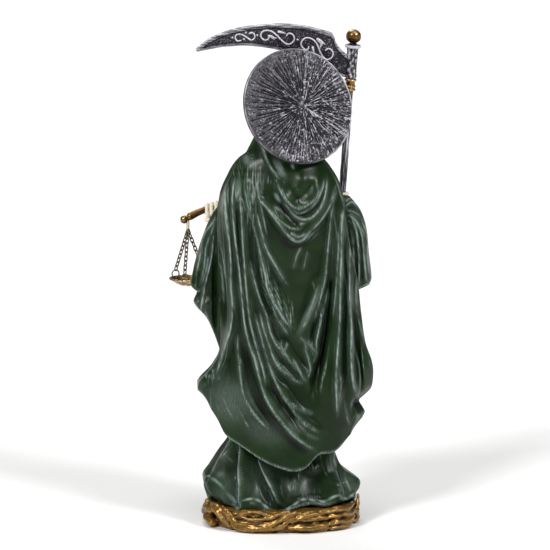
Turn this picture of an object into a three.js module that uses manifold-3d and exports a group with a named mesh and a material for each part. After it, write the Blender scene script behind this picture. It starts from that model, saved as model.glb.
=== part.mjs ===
// A standing robed skeleton figure: hooded cloak, halo, scythe in the right hand, scales in the left.
// Millimetres. +Z is up, the figure faces -Y, its left hand is at +X. The origin is the middle of the
// underside of the gilded ground that it stands on.

import * as THREE from "three";
import { mergeVertices } from "three/addons/utils/BufferGeometryUtils.js";
import Module from "manifold-3d";

const wasm = await Module();
wasm.setup();

// Driving dimensions
const clearance = 0.3; // between pieces that touch
const ground = { halfWidth: 36.6, halfDepth: 27.5, rim: 7.5, crown: 13, root: 2.2 };
const skirt = { foot: 9.5 };
const cloak = { centreHem: 29, temple: 188, crown: 209, thickness: 2.6, underside: 66 };
const head = { x: -7.6, y: -9, z: 190, turn: 20, nod: 8 };
const halo = { radius: 26.5, edge: 1.7, dome: 1.1, flutes: 20 };
halo.centre = [-7.6, 9.4, 192.7];
halo.back = [-0.39, 0.87, 0.3]; // the way its rear face looks
const staff = { radius: 1.6, foot: [-18.6, -24], head: [-31.6, -12.9], start: 9.6, end: 203.3, ferrule: 5.9 };
const blade = { thickness: 1.7, rim: 2.1, rise: 0.45, wire: 0.75, depth: -12.6 };
const beam = { hand: [31.5, -22.4, 142.6], reach: 12.0, swing: 12, droop: 3.6, radius: 1.45, ball: 1.9 };
const chain = { wire: 0.44, width: 1.95, count: 8, hook: 8.6, ring: 2.05 };
const pan = { radius: 8.4, depth: 3.4, wall: 0.7, lip: 1.3, drop: 29.4, rings: [20, 140, 260] };
const knuckles = { spacing: 2.4, finger: 1.2, palm: 1.7, thumb: 1, wrist: 2.1, grip: 147.4 };

const degrees = THREE.MathUtils.degToRad;
const clamp = (value, low = 0, high = 1) => Math.min(high, Math.max(low, value));
const smooth = (value) => clamp(value) ** 2 * (3 - 2 * clamp(value));
const mix = (a, b, share) => a + (b - a) * share;

// A smooth line through [place, value] pairs, level beyond its ends.
function through(...pairs) {
  const slope = pairs.map((pair, i) => {
    const before = pairs[Math.max(i - 1, 0)];
    const after = pairs[Math.min(i + 1, pairs.length - 1)];
    return (after[1] - before[1]) / (after[0] - before[0]);
  });
  return (place) => {
    const last = pairs.length - 1;
    if (place <= pairs[0][0]) return pairs[0][1];
    if (place >= pairs[last][0]) return pairs[last][1];
    const i = pairs.findIndex((pair) => pair[0] > place) - 1;
    const span = pairs[i + 1][0] - pairs[i][0];
    const t = (place - pairs[i][0]) / span;
    const bend = (1 - t) * slope[i] - t * slope[i + 1];
    const chord = (pairs[i + 1][1] - pairs[i][1]) / span;
    const steady = t * (1 - t) * span * (bend - (1 - 2 * t) * chord);
    return mix(pairs[i][1], pairs[i + 1][1], t) + steady;
  };
}

// Outlines of the cloak seen from behind: how far it reaches to each side, backwards and forwards at a height.
const cloakLeft = through([28, 33], [48, 36], [60, 38.3], [66, 38.2], [73, 32], [80, 28.3], [94, 27.6],
  [120, 28.2], [142, 28.6], [152, 27.2], [160, 24], [167, 19.8], [174, 13.6], [181, 10], [188, 8.6]);
const cloakRight = through([28, 37], [44, 38], [54, 39.4], [62, 41.4], [70, 42.2], [78, 40.2], [92, 36.6],
  [108, 35], [130, 31.4], [146, 29.4], [156, 26.6], [163, 22.6], [170, 18.4], [179, 19.6], [188, 22.6]);
const cloakBack = through([28, 24.4], [60, 21.6], [90, 18.6], [140, 17.4], [155, 16.4], [165, 14.2],
  [176, 11.6], [188, 11]);
const cloakFront = through([28, 22], [70, 20], [110, 17], [145, 16], [158, 14.5], [168, 15], [178, 20],
  [188, 22.5]);
const cloakCentre = through([150, 0], [170, -3.4], [188, head.x + 0.6]);

// The hem, by the angle round the figure: 0 is its left, 90 its back, 180 its right.
const hemHeight = through([-70, 74], [-30, 68], [0, 64.5], [16, 60], [27, 51], [34, 44.5], [46, 40.6],
  [72, 33.4], [92, cloak.centreHem + 1], [104, cloak.centreHem], [116, 30.4], [129, 36], [143, 36.6],
  [160, 42.6], [170, 49.6], [180, 55], [196, 61], [250, 72]);

// Where the cloak's front edges hang, as the distance from the middle.
const frontEdge = through([40, 25], [60, 24], [100, 19.5], [130, 14.5], [150, 9.6], [166, 5.4], [172, 4]);

// A fold: its height, its width on the left and on the right of its crest, and points [x, z] on the crest.
const backFolds = [
  [2.4, 4.4, 4.4, [25.4, 160], [23.6, 126], [22.4, 100], [26, 82], [33, 66]],
  [2.3, 3.6, 3.6, [21, 160], [19.6, 128], [14.6, 91], [5.5, 56]],
  [2.8, 3.8, 5.0, [17.6, 156], [13, 100], [3.4, 58], [-18.5, 36]],
  [2.2, 3.4, 4.6, [6.4, 84], [-3.6, 61], [-22, 38]],
  [1.9, 4.4, 4.0, [19.8, 86], [17.4, 64], [4.5, 43]],
  [2.2, 4.6, 5.4, [12.6, 160], [6.6, 117], [-6.4, 90]],
  [2.3, 4.6, 4.6, [-17.8, 118], [-14, 104], [-9.4, 88]],
  [1.9, 3.6, 3.8, [-20.8, 116], [-18.4, 99], [-16.2, 80]],
  [1.9, 3.6, 4.0, [1, 89], [-6.4, 76], [-14, 69]],
  [2.2, 3.6, 5.0, [2, 160], [-7.4, 147.4], [-20.6, 160]],
  [2.4, 4.4, 5.6, [9, 154], [-6.6, 134.6], [-24, 158]],
  [1.9, 4.0, 4.0, [-26, 154], [-22.4, 130], [-15, 94]],
  [2.1, 4.4, 4.4, [-28.8, 150], [-27, 104], [-24.4, 48]],
  [2.3, 4.0, 2.6, [-30.4, 146], [-31.4, 100], [-36, 58]],
  [-2.0, 3.4, 3.4, [-21.6, 120], [-19.4, 92], [-15.4, 60]],
  [-1.6, 3.4, 3.4, [-33.6, 106], [-35.6, 84], [-37, 64]],
];
const skirtFolds = [
  [2.3, 4.2, 4.2, [24, 48], [28, 33], [34, 12]],
  [2.4, 3.8, 4.2, [18.6, 50], [18.4, 30], [18.2, 5]],
  [2.5, 5.2, 4.0, [7.4, 46], [4, 28], [-0.8, 5]],
  [2.3, 4.8, 4.8, [-16, 46], [-15.6, 28], [-14.2, 6]],
  [2.3, 4.0, 4.0, [-22.2, 46], [-26, 30], [-33, 12]],
];

// The front is plainer: folds that fan out from the belt, the same to each side.
const frontFolds = [-2.5, -1.5, -0.5, 0.5, 1.5, 2.5].map((i) =>
  [1.6, 3.6, 3.6, [i * 3, 118], [i * 5.4, 60], [i * 11, 4]]);
const breastFolds = [-1.5, -0.5, 0.5, 1.5].map((i) =>
  [1.1, 3, 3, [i * 5.4, 166], [i * 4.4, 136], [i * 2.6, 114]]);
const belt = { height: 115, radius: 1.2 };

// How far folds raise the cloth at x, z. Folds that meet flow into each other.
function raised(folds, x, z) {
  const ridges = 3;
  let up = 0;
  let down = 0;
  for (const [height, left, right, ...crest] of folds) {
    let nearest = Infinity;
    let side = 0;
    let along = 0;
    for (let i = 0; i + 1 < crest.length; i++) {
      const [ax, az] = crest[i];
      const [bx, bz] = crest[i + 1];
      const length = Math.hypot(bx - ax, bz - az);
      const t = clamp(((x - ax) * (bx - ax) + (z - az) * (bz - az)) / length ** 2);
      const distance = Math.hypot(x - mix(ax, bx, t), z - mix(az, bz, t));
      if (distance < nearest) {
        nearest = distance;
        side = (bx - ax) * (z - az) - (bz - az) * (x - ax);
        along = (i + t) / (crest.length - 1);
      }
    }
    const width = side > 0 ? left : right;
    if (nearest >= width) continue;
    const fade = smooth(along / 0.2) * smooth((1 - along) / 0.16);
    const rise = Math.abs(height) * fade * (1 - (nearest / width) ** 2) ** 2;
    if (height > 0) up += rise ** ridges;
    else down = Math.max(down, rise);
  }
  return up ** (1 / ridges) - down;
}

// A closed surface through rings of points, with one point to close each end. Where the point in the middle
// of each four-cornered face is given, the face folds along the diagonal that passes nearer to it.
function lofted(first, rings, last, middles) {
  const around = rings[0].length;
  const points = [first, ...rings.flat(), last];
  const faces = [];
  const gap = (a, b, middle) =>
    Math.hypot(...[0, 1, 2].map((axis) => (points[a][axis] + points[b][axis]) / 2 - middle[axis]));
  for (let i = 0; i < around; i++) {
    const next = (i + 1) % around;
    faces.push(0, 1 + next, 1 + i);
    for (let row = 0; row + 1 < rings.length; row++) {
      const low = 1 + row * around;
      const high = low + around;
      const middle = middles?.[row]?.[i];
      if (middle && gap(low + next, high + i, middle) < gap(low + i, high + next, middle)) {
        faces.push(low + i, low + next, high + i, low + next, high + next, high + i);
      } else faces.push(low + i, low + next, high + next, low + i, high + next, high + i);
    }
    const top = 1 + (rings.length - 1) * around;
    faces.push(top + i, top + next, points.length - 1);
  }
  const geometry = new THREE.BufferGeometry();
  geometry.setAttribute("position", new THREE.Float32BufferAttribute(points.flat(), 3));
  geometry.setIndex(faces);
  return geometry;
}

const steps = (count, from = 0, to = 1) =>
  Array.from({ length: count + 1 }, (_, i) => mix(from, to, i / count));

// How far a rounded section reaches in a direction, for its four half-axes.
function reach(angle, left, right, back, front, squareness = 2.2) {
  const across = Math.cos(angle);
  const deep = Math.sin(angle);
  const halfWidth = across > 0 ? left : right;
  const halfDepth = deep > 0 ? back : front;
  const sum = Math.abs(across / halfWidth) ** squareness + Math.abs(deep / halfDepth) ** squareness;
  return sum ** (-1 / squareness);
}

// Solids for joining and cutting
function solid(geometry) {
  const bare = geometry.clone();
  bare.deleteAttribute("normal");
  bare.deleteAttribute("uv");
  const merged = mergeVertices(bare, 1e-4);
  return new wasm.Manifold(new wasm.Mesh({
    numProp: 3,
    vertProperties: new Float32Array(merged.attributes.position.array),
    triVerts: new Uint32Array(merged.index.array),
  }));
}

function joined(...solids) {
  return solids.reduce((all, one) => all.add(one));
}

// The same solid with any pocket that its pieces close off filled in.
function filled(made) {
  return made.decompose().reduce((most, one) => (one.volume() > most.volume() ? one : most));
}

function named(name, made, material) {
  const mesh = made.getMesh();
  const geometry = new THREE.BufferGeometry();
  geometry.setAttribute("position", new THREE.BufferAttribute(new Float32Array(mesh.vertProperties), 3));
  geometry.setIndex(new THREE.BufferAttribute(new Uint32Array(mesh.triVerts), 1));
  geometry.computeVertexNormals();
  const result = new THREE.Mesh(geometry, material);
  result.name = name;
  return result;
}

function ball(centre, radii, around = 10, high = 7) {
  const geometry = new THREE.SphereGeometry(1, around, high);
  geometry.rotateX(degrees(90));
  geometry.scale(...radii);
  geometry.translate(...centre);
  return solid(geometry);
}

// A bar of round section along a smooth route.
function bar(route, radius, sides = 6, lengths = 8) {
  const curve = new THREE.CatmullRomCurve3(route.map((point) => new THREE.Vector3(...point)));
  const section = new THREE.Shape();
  for (let i = 0; i < sides; i++) {
    const angle = (i * 2 * Math.PI) / sides;
    const place = [radius * Math.cos(angle), radius * Math.sin(angle)];
    if (i === 0) section.moveTo(...place);
    else section.lineTo(...place);
  }
  return solid(new THREE.ExtrudeGeometry(section, { steps: lengths, extrudePath: curve, curveSegments: 1 }));
}

// The cloak with its hood: one shell of cloth, closed under the hem by a hollow underside
function cloakSurface() {
  const closer = 0.06; // columns stand closer together towards the sides than in the middle of the back
  const behind = steps(30).slice(0, -1).map((share) => 180 * (share - closer * Math.sin(2 * Math.PI * share)));
  const angles = [...behind, ...steps(8, 180, 360).slice(0, -1)];
  const between = angles.map((angle, i) => (angle + (angles[i + 1] ?? 360)) / 2);
  const ring = (heightAt, inward, share = 1, around = angles) => around.map((degree) => {
    const angle = degrees(degree);
    const z = heightAt(hemHeight(degree > 270 ? degree - 360 : degree));
    const at = Math.min(z, cloak.temple);
    const centre = cloakCentre(at);
    const sideways = [cloakLeft(at) - centre, cloakRight(at) + centre];
    const radius = reach(angle, ...sideways, cloakBack(at), cloakFront(at)) * share - inward;
    const x = centre + radius * Math.cos(angle);
    const fullness = share === 1 && inward === 0 ? clamp(Math.sin(angle) * 2.2) : 0;
    return [x, radius * Math.sin(angle) + fullness * raised(backFolds, x, z), z];
  });
  const rings = [
    ring((hem) => mix(hem, cloak.underside + 12, 0.55), 12),
    ring((hem) => hem + 2.4, 3.4),
    ring((hem) => hem - 0.6, 1.3),
  ];
  const middles = [[], [], []];
  const rows = 26;
  for (const share of steps(rows)) {
    rings.push(ring((hem) => mix(hem, cloak.temple, share), 0));
    const half = share + 0.5 / rows;
    if (half < 1) middles.push(ring((hem) => mix(hem, cloak.temple, half), 0, 1, between));
  }
  const dome = cloak.crown - cloak.temple;
  for (const angle of [28, 60]) {
    const up = cloak.temple + dome * Math.sin(degrees(angle));
    rings.push(ring(() => up, 0, Math.cos(degrees(angle))));
  }
  return solid(lofted([0, 0, cloak.underside], rings, [head.x + 0.6, 0, cloak.crown], middles));
}

// The room between the cloak's front edges, which shows the robe
function frontOpening() {
  const rings = [40, 60, 80, 100, 120, 140, 156, 168].map((z) => {
    const half = frontEdge(z);
    const deep = cloakFront(z) - cloak.thickness * 2.2;
    const centre = cloakCentre(z);
    const side = half * 1.06;
    return [[side, -40], [side, -deep * 0.8], [half * 0.8, -deep], [-half * 0.8, -deep], [-side, -deep * 0.8],
      [-side, -40]].map(([x, y]) => [centre + x, y, z]);
  });
  return solid(lofted([0, -30, 39], rings, [cloakCentre(170), -30, 170]));
}

// The robe, from its thick ruffled hem on the ground, in at the belt, to the neck
function robeSurface() {
  const left = through([8, 31], [13, 33.4], [19, 35.6], [25, 34.6], [32, 30.4], [42, 24], [74, 20],
    [114, 15.4], [140, 18], [158, 14], [172, 6]);
  const right = through([8, 32], [13, 34.6], [19, 35.8], [24, 32.6], [33, 24.8], [44, 21], [74, 20],
    [114, 15.4], [140, 18], [158, 14], [172, 6]);
  const back = through([8, 20.4], [14, 19.6], [26, 15.8], [44, 13], [74, 12], [172, 6]);
  const front = through([8, 20.6], [20, 19.4], [40, 18.6], [74, 16.6], [104, 15.4], [114, 13.4], [124, 14.6],
    [142, 14.4], [158, 11.4], [172, 8]);
  const heights = [skirt.foot, 12, 17, 24, 33, 46, 104, 114, 124, 150, 172];
  const rings = heights.map((z) => steps(28, 0, 360).slice(0, -1).map((degree) => {
    const angle = degrees(degree);
    const radius = reach(angle, left(z), right(z), back(z), front(z));
    const x = radius * Math.cos(angle);
    const folds = degree < 180 ? skirtFolds : [...frontFolds, ...breastFolds];
    const rise = raised(folds, x, z) - 0.8;
    const ruffle = z < 12 ? 1.2 * Math.sin(degree / 9) : 0;
    return [x, (radius + rise) * Math.sin(angle), z + ruffle];
  }));
  return solid(lofted([0, 0, skirt.foot], rings, [0, 0, 173]));
}

// One hanging lobe of a bell sleeve, by its height: centre [x, y], outer and inner reach, back and front reach
function lobe(levels) {
  const rings = levels.map(([z, x, y, outer, inner, back, front]) =>
    steps(12, 0, 360).slice(0, -1).map((degree) => {
      const angle = degrees(degree);
      const radius = reach(angle, outer, inner, back, front, 2.4);
      return [x + radius * Math.cos(angle), y + radius * Math.sin(angle), z];
    }));
  const end = (level, lift) => [level[1], level[2], level[0] + lift];
  return solid(lofted(end(levels[0], -0.8), rings, end(levels[levels.length - 1], 0.8)));
}

const mirrored = (levels) => levels.map(([z, x, y, outer, inner, back, front]) =>
  [z, -x, y, inner, outer, back, front]);

function leftSleeve() {
  const bell = lobe([
    [106.6, 34, -2, 4, 6, 3, 3],
    [109.4, 32, -2.4, 9, 8, 4.4, 5.4],
    [112.6, 30, -3, 10.9, 8, 5, 6.6],
    [122, 28, -6, 10.8, 9, 7, 8.5],
    [133, 26.5, -8, 8.8, 10, 8, 9],
    [141, 25.4, -8, 6.4, 9, 7.5, 8],
    [146.4, 24, -7.4, 4, 7, 6, 6],
  ]);
  const drop = lobe([
    [79.8, 25.6, 0, 2.2, 6, 3.4, 3],
    [88, 25, -1, 5.8, 8, 5, 4.6],
    [95, 25, -1.6, 9.2, 8, 6, 6],
    [101.8, 26.4, -2, 13.4, 9, 6.6, 7],
    [106, 26.6, -3, 12, 9, 7.6, 7.6],
    [122, 26, -3.4, 9, 9, 8, 8],
  ]);
  const mouth = ball([30.8, -18, 122], [7.4, 11.5, 20], 8, 6);
  return joined(bell, drop).subtract(mouth);
}

function rightSleeve() {
  const bell = lobe(mirrored([
    [109.8, 33, -6, 7.6, 6, 7, 9],
    [113, 32, -6, 9.4, 8, 8, 10.5],
    [124, 31, -7, 9.2, 9, 9, 10.4],
    [136, 30, -7.4, 8.9, 9, 8.8, 9.4],
    [144, 29, -8, 7, 8, 7.8, 8],
    [149.6, 28, -8.4, 3.4, 6, 5, 5],
  ]));
  const mouth = ball([-33, -19.4, 128], [6.8, 11.6, 16.4], 8, 6);
  return bell.subtract(mouth);
}

// The head: a skull in the shadow of the hood, turned to the figure's left and bowed
function faceFrame(made) {
  const bow = new THREE.Matrix4().makeRotationX(degrees(head.nod));
  const turn = new THREE.Matrix4().makeRotationZ(degrees(head.turn));
  const place = new THREE.Matrix4().makeTranslation(head.x, head.y, head.z);
  return made.transform(place.multiply(turn).multiply(bow).elements);
}

function skullSurface() {
  const cranium = ball([0, 1.6, 3.6], [8.2, 9.6, 8.6], 10, 7);
  const cheeks = ball([0, -2.4, -3.6], [6.9, 6.4, 5.2], 8, 6);
  const jaw = ball([0, -3, -10], [5, 5.4, 4.8], 8, 5);
  const neck = bar([[0, 4, 2], [0, 4.6, -12], [2, 5, -26]], 3.6, 8, 4);
  const sockets = [-1, 1].map((side) => ball([side * 3.3, -8.2, 0.6], [2.3, 3, 2.2], 6, 5));
  const nose = ball([0, -9.4, -4.2], [1.3, 2.4, 1.9], 5, 4);
  const bite = solid(new THREE.BoxGeometry(7.4, 4, 0.5).translate(0, -9, -8.6));
  const made = joined(cranium, cheeks, jaw, neck);
  return faceFrame([...sockets, nose, bite].reduce((left, cut) => left.subtract(cut), made));
}

const hoodMouth = () => faceFrame(ball([0, -11, -1.6], [10.4, 15.6, 15.8], 12, 9));

// A closed hand round a bar: four fingers curled about it, a thumb, and a wrist that leads back
function hand(grip, along, outward, wrist) {
  const middle = new THREE.Vector3(...grip);
  const axis = new THREE.Vector3(...along).normalize();
  const out = new THREE.Vector3(...outward).normalize();
  const third = new THREE.Vector3().crossVectors(axis, out);
  const at = (a, o, t) => middle.clone().addScaledVector(axis, a).addScaledVector(out, o)
    .addScaledVector(third, t).toArray();
  const fingers = [-1.5, -0.5, 0.5, 1.5].map((i) => {
    const a = i * knuckles.spacing;
    const curl = [at(a, -2.6, -1.6), at(a, -0.4, -3), at(a, 2.4, -1.4), at(a, 2.6, 1.4), at(a, 0.4, 2.9)];
    return bar(curl, knuckles.finger, 4, 4);
  });
  const palm = bar([at(-4.2, -2.6, 0), at(4.2, -2.6, 0)], knuckles.palm, 6, 1);
  const thumb = bar([at(4, -2.8, 0), at(4.6, -1, 2.4), at(2.8, 1.4, 3)], knuckles.thumb, 5, 3);
  const arm = bar([at(0, -2.8, 0), wrist[0], wrist[1]], knuckles.wrist, 6, 3);
  return joined(palm, ...fingers, thumb, arm);
}

const staffAt = (z) => {
  const share = (z - staff.start) / (staff.end - staff.start);
  return [mix(staff.foot[0], staff.head[0], share), mix(staff.foot[1], staff.head[1], share), z];
};
const leftHand = () => hand(beam.hand, [1, 0.22, -0.1], [0, -0.4, 0.9], [[27, -12, 137], [24, -4, 132]]);
const rightHand = () =>
  hand(staffAt(knuckles.grip), [0.07, -0.05, 1], [-0.4, -0.9, 0], [[-29, -9, 142], [-27, -2, 136]]);

function beltCord() {
  const route = steps(8, -62, 62).map((degree) => {
    const angle = degrees(degree);
    return [16.6 * Math.sin(angle), -14.2 * Math.cos(angle), belt.height - 2.2 * Math.cos(angle)];
  });
  const ends = [-1, 1].map((side) => bar([[side, -13.6, belt.height - 2], [side * 2, -15.4, 100],
    [side * 2.6, -16, 84]], belt.radius, 5, 4));
  return joined(bar(route, belt.radius, 5, 10), ...ends);
}

function figureSolid(haloRoom, staffRoom, beamRoom) {
  const hooded = cloakSurface().subtract(hoodMouth()).subtract(frontOpening());
  const cloth = joined(hooded, robeSurface(), leftSleeve(), rightSleeve(), beltCord());
  return joined(cloth, skullSurface(), leftHand(), rightHand()).subtract(haloRoom).subtract(staffRoom)
    .subtract(beamRoom);
}

// The gilded ground: roots and leaves piled round a low mound, flat below
function groundSolid() {
  const outer = (degree) =>
    1 + 0.02 * Math.sin(degrees(degree * 5)) + 0.014 * Math.sin(degrees(degree * 11 + 40));
  const oval = (angle) => reach(angle, ground.halfWidth, ground.halfWidth, ground.halfDepth, ground.halfDepth);
  const levels = [[0, 0.95], [2.4, 1], [ground.rim, 0.985], [ground.crown - 2.6, 0.86]];
  const rings = levels.map(([z, share]) => steps(24, 0, 360).slice(0, -1).map((degree) => {
    const angle = degrees(degree);
    const radius = oval(angle) * share * (z > 0 ? outer(degree) : 1);
    return [radius * Math.cos(angle), radius * Math.sin(angle), z];
  }));
  const mound = solid(lofted([0, 0, 0], rings, [0, 0, 8]));
  const roots = steps(8, 0, 360).slice(0, -1).map((degree) => {
    const place = (turn, share, z) => {
      const angle = degrees(degree + turn);
      const radius = oval(angle) * share;
      return [radius * Math.cos(angle), radius * Math.sin(angle), z];
    };
    const route = [place(0, 0.9, 2.6), place(18, 0.965, 5.2), place(40, 0.94, 9.8), place(62, 0.76, 8.4)];
    return bar(route, ground.root, 5, 4);
  });
  const flat = solid(new THREE.BoxGeometry(90, 70, 20).translate(0, 0, -10));
  const socket = bar([staffAt(staff.start - clearance), staffAt(20)], staff.radius + clearance, 10, 1);
  const room = joined(robeSurface(), robeSurface().translate([0, 0, -clearance]));
  return joined(mound, ...roots).subtract(flat).subtract(room).subtract(socket);
}

// The halo: a cast disc, fluted from its middle, with a bevelled edge
function turnedToBack(made, centre, back) {
  const aim = new THREE.Quaternion().setFromUnitVectors(
    new THREE.Vector3(0, 0, 1),
    new THREE.Vector3(...back).normalize(),
  );
  const place = new THREE.Matrix4().compose(new THREE.Vector3(...centre), aim, new THREE.Vector3(1, 1, 1));
  return made.transform(place.elements);
}

function discSurface(radius, edge, dome, flutes) {
  const around = flutes * 2;
  const profile = [[0.5, -edge / 2], [1, -edge / 2], [1, edge * 0.1], [0.94, edge / 2], [0.88, 0], [0.14, 0]];
  const rings = profile.map(([share, z], row) => Array.from({ length: around }, (_, i) => {
    const angle = (i * Math.PI) / flutes;
    const ridge = row === 4 ? 0.16 * (i % 2) : 0;
    const rise = row > 3 ? dome * (1 - share ** 2) + edge * 0.34 : z;
    return [radius * share * Math.cos(angle), radius * share * Math.sin(angle), rise + ridge];
  }));
  return solid(lofted([0, 0, -edge / 2], rings, [0, 0, dome + edge * 0.3]));
}

const haloSolid = () =>
  turnedToBack(discSurface(halo.radius, halo.edge, halo.dome, halo.flutes), halo.centre, halo.back);

function haloRoom() {
  const deep = 14;
  const room = new THREE.CylinderGeometry(halo.radius + clearance, halo.radius + clearance, deep, 24);
  room.rotateX(degrees(90));
  room.translate(0, 0, deep / 2 - halo.edge / 2 - clearance);
  return turnedToBack(solid(room), halo.centre, halo.back);
}

// The scythe: a plain shaft, and a head cast in one with its blade, socket and ball
function staffSolid(radius = staff.radius, sides = 12) {
  return bar([staffAt(staff.start), staffAt(staff.end - staff.ferrule - clearance)], radius, sides, 1);
}

// A turned profile along the shaft's line, as [radius, height] pairs.
function turned(profile, sides = 12) {
  const lathe = new THREE.LatheGeometry(profile.map(([r, z]) => new THREE.Vector2(r, z)), sides);
  lathe.rotateX(degrees(90));
  const low = new THREE.Vector3(...staffAt(staff.start));
  const high = new THREE.Vector3(...staffAt(staff.end));
  const line = high.clone().sub(low).normalize();
  const aim = new THREE.Quaternion().setFromUnitVectors(new THREE.Vector3(0, 0, 1), line);
  const place = new THREE.Matrix4().compose(high, aim, new THREE.Vector3(1, 1, 1));
  lathe.applyMatrix4(place);
  return solid(lathe);
}

const bladeBack = [[38.4, 217.8], [31, 222.4], [20, 226.4], [3, 228.2], [-10, 227.2], [-22.7, 224.2]];
const bladeShoulder = [[-24.6, 219.8], [-29, 214.4], [-31.8, 212], [-31.6, 204.6]];
const bladeEdge = [[-29, 204.2], [-18, 209.4], [-3, 215], [14, 218], [26, 217.6], [37.6, 215.6]];
const scrolls = [
  [[18.2, 220.4], [20.6, 221.6], [18.6, 223.4], [14.6, 221.2], [12, 220.6], [12, 223.2], [14.2, 223.4]],
  [[5.2, 222.2], [7.4, 220.6], [9, 222.6], [6.6, 225], [2.2, 223], [-2.8, 218.8], [-5.8, 220.6],
    [-4.8, 223.4], [-2.6, 222.4]],
  [[-12.6, 217.6], [-10.6, 216.4], [-9, 219.2], [-11.4, 221.8], [-15.4, 220.4], [-18.4, 214.4], [-21.4, 211.8],
    [-23.6, 214.2], [-21.4, 216.8], [-19.8, 215.6]],
];

function plate(outline, thickness) {
  const options = { depth: thickness, bevelEnabled: false };
  const geometry = new THREE.ExtrudeGeometry(new THREE.Shape(outline), options);
  geometry.rotateX(degrees(90));
  geometry.translate(0, blade.depth + thickness / 2, 0);
  return solid(geometry);
}

function band(route, width, pointsPerSpan, closed = false) {
  const curve = new THREE.CatmullRomCurve3(route.map(([x, z]) => new THREE.Vector3(x, z, 0)), closed);
  const count = Math.round(pointsPerSpan * (route.length - 1));
  const left = [];
  const right = [];
  for (let i = 0; i <= count; i++) {
    const point = curve.getPoint(i / count);
    const ahead = curve.getTangent(i / count);
    left.push(new THREE.Vector2(point.x - (ahead.y * width) / 2, point.y + (ahead.x * width) / 2));
    right.unshift(new THREE.Vector2(point.x + (ahead.y * width) / 2, point.y - (ahead.x * width) / 2));
  }
  return [...left, ...right];
}

function scytheHead() {
  const vector = (point) => new THREE.Vector2(...point);
  const back = new THREE.SplineCurve(bladeBack.map(vector)).getPoints(8);
  const edge = new THREE.SplineCurve(bladeEdge.map(vector)).getPoints(8);
  const shoulder = new THREE.SplineCurve(bladeShoulder.map(vector)).getPoints(5);
  const core = plate([...back, ...shoulder, ...edge], blade.thickness);
  const raisedThickness = blade.thickness + 2 * blade.rise;
  const inset = (route, shift) => route.map(([x, z]) => [x, z + shift]);
  const rims = [
    plate(band(inset(bladeBack, -blade.rim / 2 - 0.1), blade.rim, 1.6), raisedThickness),
    plate(band(inset(bladeEdge.slice(1), 0.7), blade.rim * 0.62, 1.6), raisedThickness),
  ];
  const wires = scrolls.map((route) => plate(band(route, blade.wire, 1.2), raisedThickness));
  const socket = turned([[0, 0], [2.4, 0], [2.7, 1.2], [2.5, 13.6], [3.6, 13.9], [3.6, 15.2], [1.7, 15.6],
    [2.6, 16.6], [3.3, 18], [3.3, 19.6], [2.3, 21.4], [0, 22.2]]);
  return joined(core, ...rims, ...wires, socket);
}

const ferruleSolid = () => turned([[0, -staff.ferrule], [2, -staff.ferrule], [2.75, -5.2], [2.75, -4.3],
  [2.2, -3.6], [2.2, -2.2], [2.75, -1.3], [2.75, -clearance], [0, -clearance]]);

// The scales: a drooping beam with a ball at each end, and from each end a pan on three chains
function beamPoint(side, share) {
  const swing = degrees(beam.swing);
  const [x, y, z] = beam.hand;
  const out = side * beam.reach * share;
  return [x + out * Math.cos(swing), y + out * Math.sin(swing), z - beam.droop * share ** 2];
}

function beamSolid(radius = beam.radius, balls = true) {
  const shares = [-1, -0.7, -0.35, 0, 0.35, 0.7, 1];
  const route = shares.map((share) => beamPoint(Math.sign(share), Math.abs(share)));
  const arm = bar(route, radius, 7, 8);
  const ends = [-1, 1].map((side) => ball(beamPoint(side, 1.1), [beam.ball, beam.ball, beam.ball], 8, 6));
  const necks = [-1, 1].map((side) => hookCut(side));
  const shaped = necks.reduce((made, cut) => made.subtract(cut), arm);
  return balls ? joined(shaped, ...ends) : shaped;
}

// One oval link of few sides, standing along an axis and turned about it
function link(centre, axis, turn, length, width, wire) {
  const around = 4;
  const sides = 3;
  const corner = Math.PI / around;
  const rings = Array.from({ length: around }, (_, i) => {
    const angle = (i * 2 + 1) * corner;
    return Array.from({ length: sides }, (_, k) => {
      const round = (k * 2 * Math.PI) / sides;
      const from = (half) => half - wire / 2 + (wire / 2) * Math.cos(round);
      const up = (from(length / 2) * Math.sin(angle)) / Math.sin(corner);
      return [(from(width / 2) * Math.cos(angle)) / Math.cos(corner), (wire / 2) * Math.sin(round), up];
    });
  });
  const points = rings.flat();
  const faces = [];
  for (let i = 0; i < around; i++) {
    for (let k = 0; k < sides; k++) {
      const a = i * sides + k;
      const b = i * sides + ((k + 1) % sides);
      const c = ((i + 1) % around) * sides + k;
      const d = ((i + 1) % around) * sides + ((k + 1) % sides);
      faces.push(a, b, d, a, d, c);
    }
  }
  const geometry = new THREE.BufferGeometry();
  geometry.setAttribute("position", new THREE.Float32BufferAttribute(points.flat(), 3));
  geometry.setIndex(faces);
  geometry.rotateZ(turn);
  const aim = new THREE.Quaternion().setFromUnitVectors(new THREE.Vector3(0, 0, 1), axis.clone().normalize());
  geometry.applyMatrix4(new THREE.Matrix4().compose(centre, aim, new THREE.Vector3(1, 1, 1)));
  return solid(geometry);
}

const hookPlace = (side) => new THREE.Vector3(...beamPoint(side, 0.94));
const upright = new THREE.Vector3(0, 0, 1);
const hookTop = beam.radius + 0.9;

// A pan and its chains are made round the place where their hook crosses the beam.
function hookLink(wire) {
  const centre = new THREE.Vector3(0, 0, hookTop - chain.hook / 2);
  return link(centre, upright, degrees(beam.swing + 90), chain.hook, 2.9 + wire, wire);
}

const hookCut = (side) => hookLink(chain.wire + 2 * clearance + 0.24).translate(hookPlace(side).toArray());

function rimPoint(degree, lift) {
  const radius = pan.radius - pan.lip * 0.5;
  const angle = degrees(degree);
  return new THREE.Vector3(radius * Math.cos(angle), radius * Math.sin(angle), lift - pan.drop);
}

function rimRing(degree, wire) {
  const size = 2 * chain.ring + (wire - chain.wire);
  return link(rimPoint(degree, chain.ring - 0.62), upright, degrees(degree), size, size, wire);
}

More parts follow.
